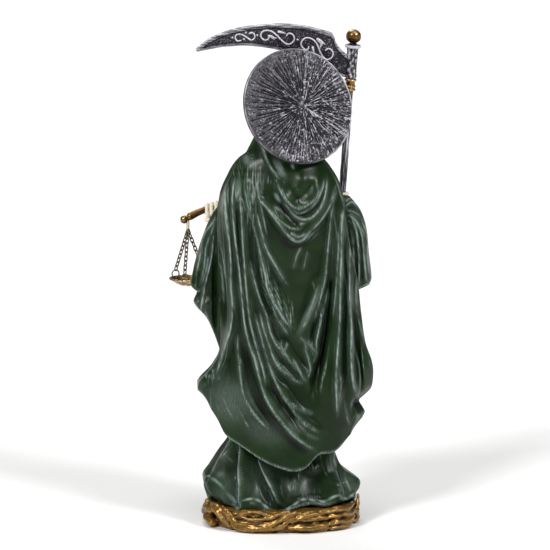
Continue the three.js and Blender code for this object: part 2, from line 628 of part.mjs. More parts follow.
function chainSet() {
  const gather = new THREE.Vector3(0, 0, hookTop - chain.hook + 0.5);
  const pieces = [hookLink(chain.wire)];
  for (const degree of pan.rings) {
    const end = rimPoint(degree, 2 * chain.ring - 0.62 - chain.wire * 0.6);
    const run = end.clone().sub(gather);
    const pitch = run.length() / chain.count;
    for (let i = 0; i < chain.count; i++) {
      const centre = gather.clone().addScaledVector(run, (i + 0.5) / chain.count);
      const turn = degrees(degree + 45 + (i % 2) * 90);
      pieces.push(link(centre, run, turn, pitch + 1.4 * chain.wire, chain.width, chain.wire));
    }
    pieces.push(rimRing(degree, chain.wire));
  }
  return filled(joined(...pieces));
}

function panSolid() {
  const profile = [[0, -pan.depth], [4.4, -pan.depth + 0.6], [6.7, -1.1], [pan.radius, -pan.wall / 2],
    [pan.radius, pan.wall / 2], [pan.radius - pan.lip, pan.wall / 2], [6.2, -0.7],
    [4, -pan.depth + 0.6 + pan.wall], [0, -pan.depth + pan.wall]];
  const lathe = new THREE.LatheGeometry(profile.map(([r, z]) => new THREE.Vector2(r, z)), 16);
  lathe.rotateX(degrees(90));
  lathe.translate(0, 0, -pan.drop);
  const holes = pan.rings.map((degree) => rimRing(degree, chain.wire + 2 * clearance + 0.1));
  return holes.reduce((made, hole) => made.subtract(hole), solid(lathe));
}

// Colours and finish of each kind of surface
function finish(color, roughness, metalness) {
  return new THREE.MeshStandardMaterial({ color, roughness, metalness });
}

const greenCloth = finish(0x2b3f2d, 0.5, 0);
const gilding = finish(0x8a6a2c, 0.45, 0.7);
const silvered = finish(0x4c4f55, 0.45, 0.7);
const oldBrass = finish(0x6d4a22, 0.4, 0.8);
const darkWire = finish(0x3a3128, 0.4, 0.9);

const staffRoom = staffSolid(staff.radius + clearance, 10);
const beamRoom = beamSolid(beam.radius + clearance, false);

const group = new THREE.Group();
group.add(
  named("base", groundSolid(), gilding),
  named("figure", figureSolid(haloRoom(), staffRoom, beamRoom), greenCloth),
  named("halo", haloSolid(), silvered),
  named("scythe_staff", staffSolid(), silvered),
  named("scythe_ferrule", ferruleSolid(), oldBrass),
  named("scythe_head", scytheHead(), silvered),
  named("scale_beam", beamSolid(), oldBrass),
);

for (const [word, side] of [["outer", 1], ["inner", -1]]) {
  const hanging = new THREE.Group();
  hanging.position.copy(hookPlace(side));
  hanging.add(named(word + "_pan_chains", chainSet(), darkWire), named(word + "_pan", panSolid(), oldBrass));
  group.add(hanging);
}

export default group;
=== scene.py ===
# The looks of a cast and painted resin figure: a hooded, robed skeleton with a halo, a scythe and hanging
# scales, on a gilded ground of roots. Shapes are worked out in millimetres, and turned to metres as they are
# made. +Z is up, the figure faces -Y and its left side is at +X.

import math

import bpy
import numpy as np
from mathutils import Matrix, Vector


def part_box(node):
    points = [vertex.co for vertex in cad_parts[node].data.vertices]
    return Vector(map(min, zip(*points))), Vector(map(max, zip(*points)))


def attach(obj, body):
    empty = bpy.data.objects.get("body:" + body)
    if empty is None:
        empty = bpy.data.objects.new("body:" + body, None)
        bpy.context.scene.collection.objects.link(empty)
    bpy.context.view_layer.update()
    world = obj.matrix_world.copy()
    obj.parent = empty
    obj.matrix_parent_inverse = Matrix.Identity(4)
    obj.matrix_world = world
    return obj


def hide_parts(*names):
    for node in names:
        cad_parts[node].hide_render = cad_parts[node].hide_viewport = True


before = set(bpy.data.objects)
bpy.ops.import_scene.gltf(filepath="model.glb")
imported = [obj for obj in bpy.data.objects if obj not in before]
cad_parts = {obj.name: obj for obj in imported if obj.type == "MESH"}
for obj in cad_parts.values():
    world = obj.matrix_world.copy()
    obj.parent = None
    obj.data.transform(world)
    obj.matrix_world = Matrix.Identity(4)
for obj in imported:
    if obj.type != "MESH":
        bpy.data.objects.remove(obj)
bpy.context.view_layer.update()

MM = 0.001


def node_box(name):
    """Lowest and highest corner of a solid of the frame, in millimetres."""
    low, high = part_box(name)
    return np.array(low) / MM, np.array(high) / MM


# Driving dimensions
CLOAK = {"temple": 188.0, "crown": 209.0, "underside": 66.0, "centre_hem": 29.0}
HEAD = {"place": (-7.6, -9.0, 190.0), "turn": 20.0, "nod": 8.0}
HALO = {"radius": 26.5, "edge": 1.7, "dome": 1.1, "centre": (-7.6, 9.4, 192.7), "back": (-0.39, 0.87, 0.3)}
STAFF = {"radius": 1.68, "foot": (-18.6, -24.0), "head": (-31.6, -12.9), "start": 9.6, "end": 203.3,
         "ferrule": 5.9}
BLADE = {"thickness": 1.7, "rim": 2.1, "lower_rim": 1.3, "rise": 0.45, "wire": 0.36, "depth": -12.6}
BEAM = {"hand": (31.5, -22.4, 142.6), "reach": 12.0, "swing": 12.0, "droop": 4.6, "radius": 1.5, "ball": 1.9}
CHAIN = {"wire": 0.6, "width": 2.1, "count": 10, "hook": 8.6, "ring": 2.05}
PAN = {"radius": 8.4, "depth": 3.4, "wall": 0.7, "lip": 1.3, "drop": 28.3, "rings": (80, 200, 320)}
GROUND = {"half_width": 36.6, "half_depth": 27.5}
GRIP_HEIGHT = 146.7
BELT_HEIGHT = 115.0
# Size of the even cells of the pieces that are grown together
CELL = {"ground": 0.4, "skull": 0.4, "hand": 0.22}


# Small sums that the shapes share
def smooth(value):
    value = np.clip(value, 0, 1)
    return value * value * (3 - 2 * value)


def mix(a, b, share):
    return a + (b - a) * share


def through(*pairs):
    """A smooth line through (place, value) pairs, level beyond its ends."""
    places, values = np.array(pairs, float).T
    count = len(places)
    before = np.maximum(np.arange(count) - 1, 0)
    after = np.minimum(np.arange(count) + 1, count - 1)
    slope = (values[after] - values[before]) / (places[after] - places[before])

    def at(place):
        place = np.clip(np.asarray(place, float), places[0], places[-1])
        i = np.clip(np.searchsorted(places, place, side="right") - 1, 0, count - 2)
        span = places[i + 1] - places[i]
        t = (place - places[i]) / span
        chord = (values[i + 1] - values[i]) / span
        bend = (1 - t) * slope[i] - t * slope[i + 1]
        return mix(values[i], values[i + 1], t) + t * (1 - t) * span * (bend - (1 - 2 * t) * chord)

    return at


def reach(angle, left, right, back, front, squareness=2.2):
    """How far a rounded section reaches in a direction, for its four half-axes."""
    across, deep = np.cos(angle), np.sin(angle)
    half_width = np.where(across > 0, left, right)
    half_depth = np.where(deep > 0, back, front)
    total = np.abs(across / half_width) ** squareness + np.abs(deep / half_depth) ** squareness
    return total ** (-1 / squareness)


def round_points(radius, angle, height):
    """Points round the Z axis at each angle, for a radius and a height."""
    height = np.broadcast_to(height, angle.shape)
    return np.stack([radius * np.cos(angle), radius * np.sin(angle), height], axis=1)


def curve_points(route, count):
    """Points spread evenly along a smooth line through the points of a route."""
    route = np.asarray(route, float)
    lengths = np.r_[0, np.cumsum(np.linalg.norm(np.diff(route, axis=0), axis=1))]
    lines = [through(*zip(lengths, route[:, axis])) for axis in range(route.shape[1])]
    fine = np.linspace(0, lengths[-1], 12 * len(route))
    dense = np.stack([line(fine) for line in lines], axis=1)
    along = np.r_[0, np.cumsum(np.linalg.norm(np.diff(dense, axis=0), axis=1))]
    even = np.linspace(0, along[-1], count)
    return np.stack([np.interp(even, along, dense[:, axis]) for axis in range(route.shape[1])], axis=1)


def waves(points, length, seed):
    """A gentle, even unevenness between -1 and 1, with bumps of about a length."""
    rng = np.random.default_rng(seed)
    total = np.zeros(len(points))
    count = 10
    for _ in range(count):
        way = rng.normal(size=3)
        way *= 2 * np.pi / (length * rng.uniform(0.7, 1.6) * np.linalg.norm(way))
        total += np.sin(points @ way + rng.uniform(0, 2 * np.pi))
    return total / math.sqrt(count)


# Making meshes
def piece(name, points, faces, replaces, slot):
    """A named piece in place of solids of the frame. Its points are in millimetres."""
    mesh = bpy.data.meshes.new(name)
    mesh.from_pydata((np.asarray(points) * MM).tolist(), [], [list(face) for face in faces])
    mesh.validate()
    mesh.polygons.foreach_set("use_smooth", np.ones(len(mesh.polygons), bool))
    made = bpy.data.objects.new(name, mesh)
    bpy.context.scene.collection.objects.link(made)
    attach(made, "root")
    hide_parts(*replaces)
    return made


def lofted(rings, first, last):
    """Points and faces of a closed surface through rings of points, with one point to close each end."""
    rings = np.asarray(rings, float)
    rows, around, _ = rings.shape
    points = np.vstack([[first], rings.reshape(-1, 3), [last]])
    i = np.arange(around)
    following = (i + 1) % around
    low = 1 + np.arange(rows - 1)[:, None] * around
    quads = np.stack([low + i, low + following, low + around + following, low + around + i], axis=2)
    top = 1 + (rows - 1) * around
    bottom_fan = np.stack([np.zeros(around, int), 1 + following, 1 + i], axis=1)
    top_fan = np.stack([top + i, top + following, np.full(around, len(points) - 1)], axis=1)
    return points, quads.reshape(-1, 4).tolist() + bottom_fan.tolist() + top_fan.tolist()


def together(*parts):
    """Several sets of points and faces as one."""
    points, faces, start = [], [], 0
    for some_points, some_faces in parts:
        points.append(some_points)
        faces += [[start + corner for corner in face] for face in some_faces]
        start += len(some_points)
    return np.vstack(points), faces


def strand(route, radii, sides=12, count=24, flutes=0, depth=0.0, twist=0.0, narrow=6):
    """A round bar along a smooth route, with radii spread evenly along it, rounded ends and, where wanted,
    flutes of a depth relative to its radius that wind round it by a number of radians. The higher narrow is,
    the narrower they are."""
    centres = curve_points(route, count)
    share = np.linspace(0, 1, count)
    radius = through(*zip(np.linspace(0, 1, len(radii)), radii))(share)
    ahead = np.gradient(centres, axis=0)
    ahead /= np.linalg.norm(ahead, axis=1)[:, None]
    side = np.cross(ahead[0], (0.3, 0.5, 0.81))
    around = np.linspace(0, 2 * np.pi, sides, endpoint=False)
    rings = []

    def ring(centre, way, across, size, wound=0.0):
        other = np.cross(way, across)
        size = size * (1 - depth * np.abs(np.sin(around * flutes / 2 + wound)) ** narrow)[:, None]
        return centre + size * (np.outer(np.cos(around), across) + np.outer(np.sin(around), other))

    def end_rings(k, outward, across, turns):
        """The rings that round an end off, at angles from the axis."""
        for turn in turns:
            out, size = math.sin(math.radians(90 - turn)), math.cos(math.radians(90 - turn))
            centre = centres[k] + outward * ahead[k] * radius[k] * out
            rings.append(ring(centre, ahead[k], across, radius[k] * size))

    for k in range(count):
        side = side - ahead[k] * (side @ ahead[k])
        side /= np.linalg.norm(side)
        if k == 0:
            end_rings(0, -1, side, (25, 60))
        rings.append(ring(centres[k], ahead[k], side, radius[k], twist * share[k]))
    end_rings(-1, 1, side, (60, 25))
    return lofted(rings, centres[0] - ahead[0] * radius[0], centres[-1] + ahead[-1] * radius[-1])


def egg(centre, radii, around=24, high=16):
    """A ball or egg."""
    turns = np.radians(np.linspace(-90, 90, high + 1)[1:-1])
    angle = np.linspace(0, 2 * np.pi, around, endpoint=False)
    centre, radii = np.array(centre, float), np.array(radii, float)
    rings = [centre + radii * round_points(np.cos(turn), angle, np.sin(turn)) for turn in turns]
    return lofted(rings, centre - radii * (0, 0, 1), centre + radii * (0, 0, 1))


def turned(profile, sides=72, finer=5):
    """A lathe-turned body about the Z axis through (radius, height) pairs, with its corners eased."""
    profile = np.array(profile, float)
    share = np.linspace(0, len(profile) - 1, (len(profile) - 1) * finer + 1)
    radius = np.interp(share, np.arange(len(profile)), profile[:, 0])
    height = np.interp(share, np.arange(len(profile)), profile[:, 1])
    for _ in range(2):
        radius[1:-1] = (radius[:-2] + 2 * radius[1:-1] + radius[2:]) / 4
        height[1:-1] = (height[:-2] + 2 * height[1:-1] + height[2:]) / 4
    angle = np.linspace(0, 2 * np.pi, sides, endpoint=False)
    rings = [round_points(r, angle, z) for r, z in zip(radius[1:-1], height[1:-1])]
    return lofted(rings, (0, 0, height[0]), (0, 0, height[-1]))


def moved(part, matrix):
    """The same points and faces after a turn and a shift."""
    points, faces = part
    turn = np.array(matrix.to_3x3())
    return points @ turn.T + np.array(matrix.translation), faces


def facing(way):
    """The turn that brings +Z round to a direction."""
    return Vector((0, 0, 1)).rotation_difference(Vector(way).normalized()).to_matrix().to_4x4()


def grown_together(made, cell):
    """The piece's overlapping bodies fused into one skin of even cells, of a size in millimetres."""
    remesh = made.modifiers.new("one_skin", "REMESH")
    remesh.mode = "VOXEL"
    remesh.voxel_size = cell * MM
    ease = made.modifiers.new("ease", "SMOOTH")
    ease.factor = 0.5
    ease.iterations = 1
    view = bpy.context.evaluated_depsgraph_get()
    made.data = bpy.data.meshes.new_from_object(made.evaluated_get(view))
    made.modifiers.clear()
    made.data.polygons.foreach_set("use_smooth", np.ones(len(made.data.polygons), bool))


def move_points(made, points):
    """Sets the piece's vertices, in millimetres."""
    made.data.vertices.foreach_set("co", (points * MM).ravel())
    made.data.update()


def mesh_arrays(made):
    """The piece's points in millimetres, its normals and its edges."""
    mesh = made.data
    points = np.zeros(len(mesh.vertices) * 3)
    mesh.vertices.foreach_get("co", points)
    normals = np.zeros(len(mesh.vertices) * 3, np.float32)
    mesh.vertex_normals.foreach_get("vector", normals)
    edges = np.zeros(len(mesh.edges) * 2, np.int32)
    mesh.edges.foreach_get("vertices", edges)
    return points.reshape(-1, 3) / MM, normals.reshape(-1, 3), edges.reshape(-1, 2)


def eased(values, edges, passes):
    """Values at the vertices, drawn towards their neighbours' middle again and again."""
    one, other = edges.T
    count = len(values)
    share = 1 / np.maximum(np.bincount(edges.ravel(), minlength=count), 1)
    for _ in range(passes):
        total = np.stack([np.bincount(one, column[other], count) + np.bincount(other, column[one], count)
                          for column in values.T], axis=1)
        values = mix(values, total * share[:, None], 0.6)
    return values


def give_value(made, name, values):
    """Keeps a value for each vertex, which the paint reads."""
    layer = made.data.attributes.new(name, "FLOAT", "POINT")
    layer.data.foreach_set("value", np.asarray(values, np.float32))


# Folds of cloth: height, width on each side of the crest, how pale its paint is, and points (x, z) on it
BROAD_FOLDS = [
    (2.4, 4.4, 4.4, 0, (25.4, 160), (23.6, 126), (22.4, 100), (26, 82), (33, 66)),
    (2.3, 3.6, 3.6, 0, (21, 160), (19.6, 128), (15, 91), (6.5, 60)),
    (2.9, 3.6, 5.0, 0, (17.6, 156), (15.6, 100), (10.4, 74), (1, 54), (-17.5, 37)),
    (2.2, 3.0, 4.0, 0, (6.4, 76), (-3.2, 60.4), (-10, 51), (-21, 43)),
    (1.9, 4.4, 4.0, 0, (19.8, 86), (17.4, 64), (4.5, 43)),
    (2.4, 4.6, 5.4, 0, (12.6, 160), (8.6, 122), (2, 104), (-5, 92)),
    (2.3, 4.6, 4.6, 0, (-17.8, 118), (-14, 104), (-9.4, 88)),
    (1.9, 3.6, 3.8, 0, (-20.8, 116), (-18.4, 99), (-16.2, 80)),
    (1.9, 3.2, 3.6, 0, (1, 89), (-6.4, 76), (-14, 69)),
    (2.3, 3.6, 5.0, 0, (2, 160), (-7.4, 147.4), (-20.6, 160)),
    (2.6, 4.4, 5.6, 0, (9, 154), (-6.6, 134.6), (-24, 158)),
    (1.9, 4.0, 4.0, 0, (-26, 154), (-22.4, 130), (-15, 94)),
    (2.3, 4.0, 4.4, 0, (-28.8, 150), (-26.6, 104), (-24.6, 48)),
    (2.3, 3.4, 2.2, 0, (-30.4, 146), (-31.4, 100), (-32.6, 69), (-36, 58)),
    (-2.8, 3.2, 3.2, 0, (-21.6, 120), (-20.4, 98), (-18, 80), (-15, 66), (-16.4, 58)),
    (-3.6, 2.4, 2.6, 0, (-33.8, 108), (-34.6, 88), (-35.4, 74), (-36.6, 61)),
]
FINE_FOLDS = [
    (0.8, 1.2, 1.4, 0.6, (11.7, 163.5), (11, 157.3), (9.2, 150), (7.4, 141.3), (6, 134)),
    (0.7, 1.1, 1.3, 0.5, (9.5, 166), (9.2, 158), (8.3, 152.5)),
    (0.9, 1.3, 1.3, 0.7, (25, 155), (25.5, 150), (25, 141.4), (23.2, 129)),
    (1.0, 1.6, 1.8, 0.5, (17.1, 160), (15.9, 153.6), (14.1, 145), (12.3, 139), (9.2, 129)),
    (1.1, 1.8, 1.8, 0.9, (28.2, 143), (29.4, 137.4), (28.6, 132), (27.2, 127), (25.8, 120), (25.2, 111)),
    (0.9, 1.6, 1.6, 0.7, (30.4, 130.8), (28.8, 124.3), (27.3, 118), (26.7, 110.3), (26.2, 100)),
    (1.4, 1.7, 1.9, 1.0, (24.1, 160), (25.4, 151.6), (24.5, 141), (23.4, 131.4), (22.8, 122.6), (22.8, 112),
     (22, 101.5), (23.2, 91), (26.2, 82), (28.3, 75.4), (30, 69)),
    (1.5, 1.7, 1.9, 1.0, (20.5, 162), (21.7, 156.7), (22, 150), (21.4, 141), (20.4, 131.4), (19.1, 122.6),
     (17.9, 111), (17.1, 101.5), (16.2, 93.6), (14.1, 85.6), (11.7, 79.5), (9.9, 72.1), (7.4, 63.6),
     (3.8, 56.9), (0.1, 52), (-4.9, 46), (-11, 41), (-17.4, 37)),
    (1.1, 1.5, 1.7, 0.8, (18.5, 153), (16.8, 126), (14.7, 101.5), (13.5, 94.1), (10.5, 83.1), (8.3, 75.7),
     (6.5, 66)),
    (1.1, 1.6, 1.9, 0.8, (14, 125), (12.4, 116.8), (10, 108), (6.6, 99.2), (4.6, 91), (1.4, 84.9),
     (-2.3, 80), (-4.8, 76.5)),
    (1.0, 1.6, 1.8, 0.6, (12.3, 101.4), (9.9, 92.9), (7.4, 83.1), (5, 75.7), (1.4, 67.1), (-1, 62.2),
     (-4.6, 58)),
    (1.1, 1.6, 2.0, 0.8, (9.9, 101.5), (8, 93.5), (5.6, 86.2), (2.6, 78.2), (-1, 73.9), (-5, 70.4)),
    (0.9, 1.8, 2.2, 0.5, (-5.6, 53.7), (-9.2, 48.8), (-13, 45), (-18, 42.6)),
    (0.9, 1.6, 2.0, 0.5, (-4.6, 60), (-7.4, 58), (-11.7, 55.5), (-15.3, 54.9)),
    (1.0, 3.0, 3.4, 0.3, (16, 162), (13.5, 145), (10, 129), (8.5, 117)),
    (1.1, 1.7, 2.1, 0.9, (11.2, 146.8), (8.9, 138), (6.6, 129.7), (2, 120.9), (-1, 115.7), (-4, 112)),
    (1.3, 1.8, 2.2, 1.0, (10.6, 134), (8.9, 125.6), (7.1, 118), (6, 111), (2, 103.3), (-1.5, 97.4),
     (-5.6, 92)),
    (0.9, 1.4, 1.6, 0.6, (3.8, 101.4), (0.1, 95.3), (-3.6, 90)),
    (1.0, 2.6, 2.6, 0.5, (-17, 113), (-12.6, 101), (-8.8, 91)),
    (0.9, 1.4, 1.6, 0.7, (-21.3, 112), (-19.5, 102), (-17.4, 94), (-15.9, 87), (-16.2, 81), (-14.6, 76)),
    (0.9, 1.5, 1.7, 0.5, (-7.6, 90), (-12.3, 86.1), (-16.4, 81.8)),
    (1.1, 1.6, 1.8, 0.6, (-10, 87), (-12.4, 79), (-13.2, 74.5), (-12.2, 70.6)),
    (1.1, 1.5, 1.7, 0.6, (-5.4, 80), (-8.6, 73.9), (-10.1, 70.6), (-12.6, 69)),
    (1.0, 1.5, 1.8, 0.5, (1.4, 88), (-2.6, 80.7), (-5.4, 76.4)),
    (1.0, 1.5, 1.9, 0.4, (1.4, 78.4), (-2.6, 73.3), (-6.2, 70), (-11, 68.2)),
    (1.3, 1.3, 2.6, 0.5, (3, 162), (0.6, 156), (-2.5, 151), (-7.5, 147.6), (-13.5, 150), (-17, 154),
     (-19.5, 160)),
    (0.8, 1.1, 1.4, 0.3, (-2.5, 149.6), (-8.5, 145.4), (-15, 149), (-19, 154)),
    (1.0, 1.2, 1.6, 0.9, (-4.6, 146.6), (-8, 145.4), (-12, 146.8), (-16, 151), (-18.8, 157), (-19.6, 162)),
    (1.0, 1.2, 1.6, 0.8, (1.6, 153.6), (-2, 149.4), (-5.6, 144.8), (-9.4, 142.8), (-13.4, 143.4),
     (-17.6, 147.6), (-20.2, 155), (-20.8, 163)),
    (-1.0, 1.0, 1.0, 0, (-4.6, 145.6), (-8.6, 144), (-12.8, 145), (-17, 149.6), (-19.9, 157)),
    (1.2, 1.5, 3.0, 0.4, (7, 150), (1, 143), (-5.5, 138.6), (-11, 139.4)),
    (1.3, 1.6, 2.6, 0.8, (-25, 158), (-23.6, 152), (-21, 146.4), (-17, 141), (-11.5, 136)),
    (1.6, 1.5, 3.2, 0.9, (12, 154), (7, 148.6), (2, 142.4), (-4, 134.6), (-7.5, 132.6), (-11.4, 134.6),
     (-15, 140)),
    (0.7, 1.1, 1.2, 0.6, (-3.4, 137.4), (-7.6, 135.2), (-12, 137)),
    (0.7, 1.4, 1.4, 0.6, (-9.4, 131), (-6.8, 125.6), (-5.4, 119.6)),
    (0.6, 1.3, 1.3, 0.4, (-12, 129), (-10.4, 122), (-9.8, 119)),
    (0.9, 1.2, 1.8, 0.8, (15.4, 172.6), (13.8, 175.6), (12, 179.6)),
    (1.7, 1.4, 3.0, 0.8, (11, 180), (8.5, 175), (6, 168), (2, 162), (-0.6, 159.6)),
    (1.0, 1.6, 1.8, 0.6, (-24.6, 150), (-23, 146.8), (-21.3, 131.5), (-20.1, 116.8), (-17.2, 105),
     (-14.4, 94)),
    (1.0, 2.3, 2.3, 0.5, (-26, 141), (-25.6, 125), (-24.6, 110), (-23, 95)),
    (1.2, 1.6, 1.7, 0.9, (-28.2, 149), (-27.6, 137.4), (-27, 125.6), (-26.8, 108.6), (-26.6, 97),
     (-25.4, 82), (-24.7, 70.8), (-25.1, 60), (-25.5, 51)),
    (1.2, 1.6, 1.7, 0.9, (-27.8, 152), (-30, 143), (-30.8, 134), (-31.4, 116.5), (-30.9, 107.7),
     (-31.6, 94), (-31.8, 80), (-32.6, 69), (-33.9, 62.8), (-36, 57.8), (-38, 53.8)),
    (1.0, 1.5, 1.5, 0.7, (-32.4, 145), (-34, 136.9), (-34.6, 124), (-34.2, 112.3), (-34.6, 100.5),
     (-36.6, 90), (-39.6, 80), (-41, 72)),
    (0.8, 1.4, 1.6, 0.3, (-28, 61), (-29.6, 54), (-31.4, 47)),
    (0.8, 1.3, 1.4, 0.3, (-26.6, 74), (-27.2, 69), (-26.6, 62), (-26.2, 56)),
    (0.9, 1.8, 2.2, 0.6, (19.4, 91), (19.6, 84.4), (18.4, 72.3), (17, 63.8), (14, 57.3), (8.6, 51),
     (3, 46)),
    (0.7, 1.5, 1.8, 0.5, (20.8, 60), (17.1, 53), (14, 47)),
    (0.8, 1.6, 2.0, 0.4, (27, 66), (25, 58), (20.5, 50)),
    (-1.6, 2.0, 2.0, 0, (-22.5, 134), (-20.8, 106), (-18.8, 88), (-16.5, 70)),
    (-1.3, 1.6, 1.6, 0, (25.2, 146), (23.9, 126), (23, 110), (20.4, 96)),
    (-1.3, 1.6, 1.6, 0, (19.8, 150), (18.2, 124), (16, 101), (12, 82), (7.6, 70), (1, 60)),
    (-1.4, 1.5, 1.5, 0, (-29.6, 138), (-29, 110), (-28.6, 84), (-28.4, 66)),
    (-1.1, 1.6, 1.6, 0, (-18.6, 108), (-14.8, 92), (-13.4, 84)),
    (-1.2, 1.5, 1.5, 0, (12, 140), (10.4, 118), (7, 104), (3, 96)),
    (-1.2, 1.4, 1.4, 0, (8.6, 86), (4, 74), (-3, 66)),
    (-1.2, 1.4, 1.4, 0, (6, 100), (2, 88), (-2, 84)),
]
# Where the dry brush caught the paint: middle x, z, half width and height, how far the strokes lean, how pale
# The place at x 14, z 169.4 is a painted highlight on the shoulder; the others are dry brush
BRUSHED_CLOAK = [
    (12.4, 160.8, 4.3, 5.8, 0, 0.8), (13.5, 148, 2.3, 8.7, 0, 0.6), (7.1, 118, 2, 6.6, 0.2, 1.0),
    (2, 105, 3.5, 9.4, 0.43, 1.0), (-4.4, 99.7, 1.2, 5.6, 0.1, 0.8), (-12.5, 135.5, 3.4, 2.4, -0.9, 0.9),
    (14, 169.4, 2.8, 1.8, 0.4, 0.5), (0.8, 166.5, 2, 3, 0.3, 0.7), (-6, 167.4, 1.1, 1.1, 0, 1.0),
    (-1.5, 154.5, 1.6, 2, 0.5, 0.8), (2.5, 145.4, 2.8, 2.2, 0.5, 0.7), (33, 71, 4, 3.2, 0.3, 1.0),
    (27, 56, 2, 1.6, 0.5, 0.5), (-13, 85, 3, 3.5, 0.5, 0.5), (-25.4, 66, 1.2, 9, 0, 0.5),
    (20, 163, 2.4, 7, 0.15, 0.4), (-31.8, 92, 1.2, 12, 0.06, 0.4), (0.6, 66, 2.4, 2.4, 0.6, 0.2),
    (5.4, 160, 0.8, 1.6, 0, 0.8),
]
# Softer pale places, laid on the same way with only faint strokes: painted highlights on broad crests and on
# the shoulder, among real pale paint such as the white chip under the halo
PAINTED_HIGHLIGHTS_AND_PALE_CLOAK = [
    (0.8, 165.6, 1.7, 3.6, 0.45, 0.6), (-5.2, 166.2, 0.7, 1.1, 0.3, 1.0), (15, 168, 2.2, 1.8, 0.3, 0.4),
    (19, 156, 1.2, 4.5, 0, 0.35), (1.6, 152.4, 0.9, 1.8, 0.5, 0.7), (23, 60, 9, 10, 0, 0.19),
    (8, 47, 8, 6, 0.6, 0.12), (-13, 101.5, 1.6, 9, -0.46, 0.4),
]
# On the skirt, the place at x -15.8, z 28.4 is a painted highlight on the round swell there; the others are
# dry brush
BRUSHED_ROBE = [(-5.5, 20.2, 3.0, 2.2, 0, 0.5), (-9, 25, 0.7, 2.6, 0, 0.8), (-12, 16.6, 7, 2, 0, 0.25),
                (-15.8, 28.4, 1.4, 1.3, 0, 0.6), (20, 20, 1.2, 5, 0, 0.4), (26, 33, 1.4, 4, 0.3, 0.4),
                (9.6, 19, 1.6, 2.4, 0.6, 0.4), (-30, 19, 2.0, 4, 0.7, 0.4)]
# Broad paler places on the flats between the skirt's folds, as painted highlights
PAINTED_HIGHLIGHTS_ROBE = [(9, 22, 6, 9, 0, 0.13), (-8.5, 20, 6, 3.6, 0, 0.17), (25, 18, 4, 7, 0, 0.12),
             (-31, 22, 3, 6, 0.4, 0.13)]
SKIRT_FOLDS = [
    (2.3, 4.0, 4.2, 0, (23, 48), (27, 33), (33, 14)),
    (2.8, 3.4, 4.2, 0, (18.6, 50), (18.0, 30), (18.0, 5)),
    (2.7, 4.6, 3.4, 0, (10, 46), (6.4, 28), (2, 16), (-1.4, 7)),
    (1.6, 5.0, 5.0, 0, (-3.6, 44), (-4.4, 28), (-5, 10)),
    (2.6, 3.2, 3.6, 0, (-22.6, 46), (-24.6, 28), (-29, 10)),
    (-4.2, 3.2, 3.8, 0, (23, 40), (23, 28), (23.4, 16), (20.6, 6)),
    (-4.0, 3.2, 3.2, 0, (14.6, 42), (11.6, 29), (7.4, 19), (3, 11)),
    (-2.6, 2.2, 2.2, 0, (-27, 34), (-27.4, 24), (-31.4, 13)),
]
FINE_SKIRT_FOLDS = [
    (1.6, 1.8, 2.4, 1.0, (23, 44), (25.4, 35), (28.8, 28.4), (32.4, 23)),
    (1.9, 1.6, 2.2, 0.9, (18.4, 44), (17.8, 32.3), (17.6, 24.2), (17.7, 15.5), (19, 7.4)),
    (1.6, 1.6, 2.0, 1.0, (11.9, 37), (8.4, 29.6), (5.4, 23.4), (2.4, 16.6), (1.4, 12)),
    (0.9, 1.4, 1.6, 0.5, (7.4, 22), (5, 17), (3.6, 13)),
    (1.7, 1.7, 1.8, 1.0, (-22.8, 40), (-23.8, 35), (-24.9, 26.7), (-28, 19.3), (-29, 11.8)),
    (1.4, 1.6, 1.9, 0.7, (-26.4, 31), (-27.9, 27.4), (-31, 20), (-33.4, 14.6)),
    (0.8, 1.5, 1.5, 0.5, (24.6, 24), (20.8, 19), (20.4, 12)),
]
# Swellings and hollows of the skirt behind: x, z, half width and height, how far out
SKIRT_SWELLS = [(-16, 24.6, 6.4, 9.5, -3.6), (-16.4, 27.2, 2.5, 2.3, 3.2), (12.8, 22, 2.4, 5, -1.2),
                (-7.6, 22, 1.6, 1.6, 0.5), (-4.5, 18.6, 2.2, 1.8, 0.5)]


